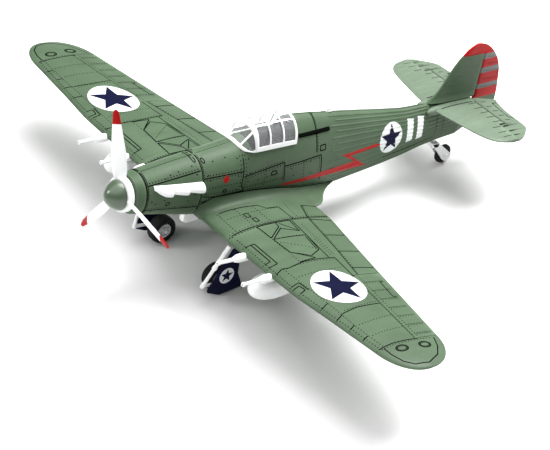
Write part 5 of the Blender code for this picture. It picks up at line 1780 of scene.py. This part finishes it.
class WARBIRD_OT_stage(bpy.types.Operator):
    """Set the pale floor, the soft lights and the camera"""
    bl_idname = "warbird.stage"
    bl_label = "Studio stage"

    def execute(self, context):
        scene = context.scene
        reach, drop = 25.0, 0.0002
        corners = [(-reach, -reach, 0), (reach, -reach, 0), (reach, reach, 0), (-reach, reach, 0)]
        mesh = bpy.data.meshes.new("floor")
        mesh.from_pydata(corners, [], [(0, 1, 2, 3)])
        mesh.materials.append(node_material("floor_paper", (0.72, 0.72, 0.72), rough=0.9, mottle=0.004,
                                            mottle_scale=3.0, grain=0.004, bump=0.02, specular=0.1))
        floor = bpy.data.objects.new("floor", mesh)
        scene.collection.objects.link(floor)
        floor.location.z = -drop
        world = bpy.data.worlds.new("studio")
        world.use_nodes = True
        sky = world.node_tree.nodes["Background"]
        sky.inputs["Color"].default_value = (1.0, 1.0, 1.0, 1.0)
        sky.inputs["Strength"].default_value = 0.16
        scene.world = world
        soft_sun("key", (-0.35, 0.75, 1.70), 3.3, 44.0)
        soft_sun("top", (0.1, -0.5, 1.9), 2.1, 75.0)
        area_light("tail", (0.0, 0.62, 0.80), (0, 0.16, 0.08), 13.0, 0.5)
        area_light("front", (-0.9, -1.3, 1.0), (0, -0.1, 0.04), 9.0, 0.4)
        scene.view_settings.view_transform = "Standard"
        data = bpy.data.cameras.new("camera")
        data.sensor_width, data.lens = 36.0, LENS
        data.clip_start, data.clip_end = 0.01, 50.0
        camera = bpy.data.objects.new("camera", data)
        scene.collection.objects.link(camera)
        camera.location = CAMERA_AT
        camera.rotation_euler = [math.radians(angle) for angle in CAMERA_TURN]
        scene.camera = camera
        return {"FINISHED"}


class WARBIRD_PT_panel(bpy.types.Panel):
    """Sizes, colours and one button for each group of pieces"""
    bl_label = "Warbird"
    bl_idname = "WARBIRD_PT_panel"
    bl_space_type = "VIEW_3D"
    bl_region_type = "UI"
    bl_category = "Warbird"

    def draw(self, context):
        column = self.layout.column(align=True)
        for group in (context.scene.warbird_colours, context.scene.warbird_sizes):
            for name in group.bl_rna.properties.keys():
                if name not in ("rna_type", "name"):
                    column.prop(group, name)
        for operator in OPERATORS:
            column.operator(operator.bl_idname)


OPERATORS = (WARBIRD_OT_fuselage, WARBIRD_OT_cowling, WARBIRD_OT_exhausts, WARBIRD_OT_wing,
             WARBIRD_OT_ailerons, WARBIRD_OT_tail, WARBIRD_OT_panel_lines, WARBIRD_OT_markings,
             WARBIRD_OT_canopy, WARBIRD_OT_cockpit, WARBIRD_OT_propeller, WARBIRD_OT_power,
             WARBIRD_OT_stores, WARBIRD_OT_gear, WARBIRD_OT_stage)
CLASSES = (WarbirdColours, WarbirdSizes, *OPERATORS, WARBIRD_PT_panel)


def register():
    for cls in CLASSES:
        bpy.utils.register_class(cls)
    bpy.types.Scene.warbird_colours = PointerProperty(type=WarbirdColours)
    bpy.types.Scene.warbird_sizes = PointerProperty(type=WarbirdSizes)


def unregister():
    del bpy.types.Scene.warbird_sizes
    del bpy.types.Scene.warbird_colours
    for cls in reversed(CLASSES):
        bpy.utils.unregister_class(cls)


def main():
    register()
    for operator in OPERATORS:
        _, name = operator.bl_idname.split(".")
        getattr(bpy.ops.warbird, name)()
    bpy.context.view_layer.update()


if __name__ == "__main__":
    main()
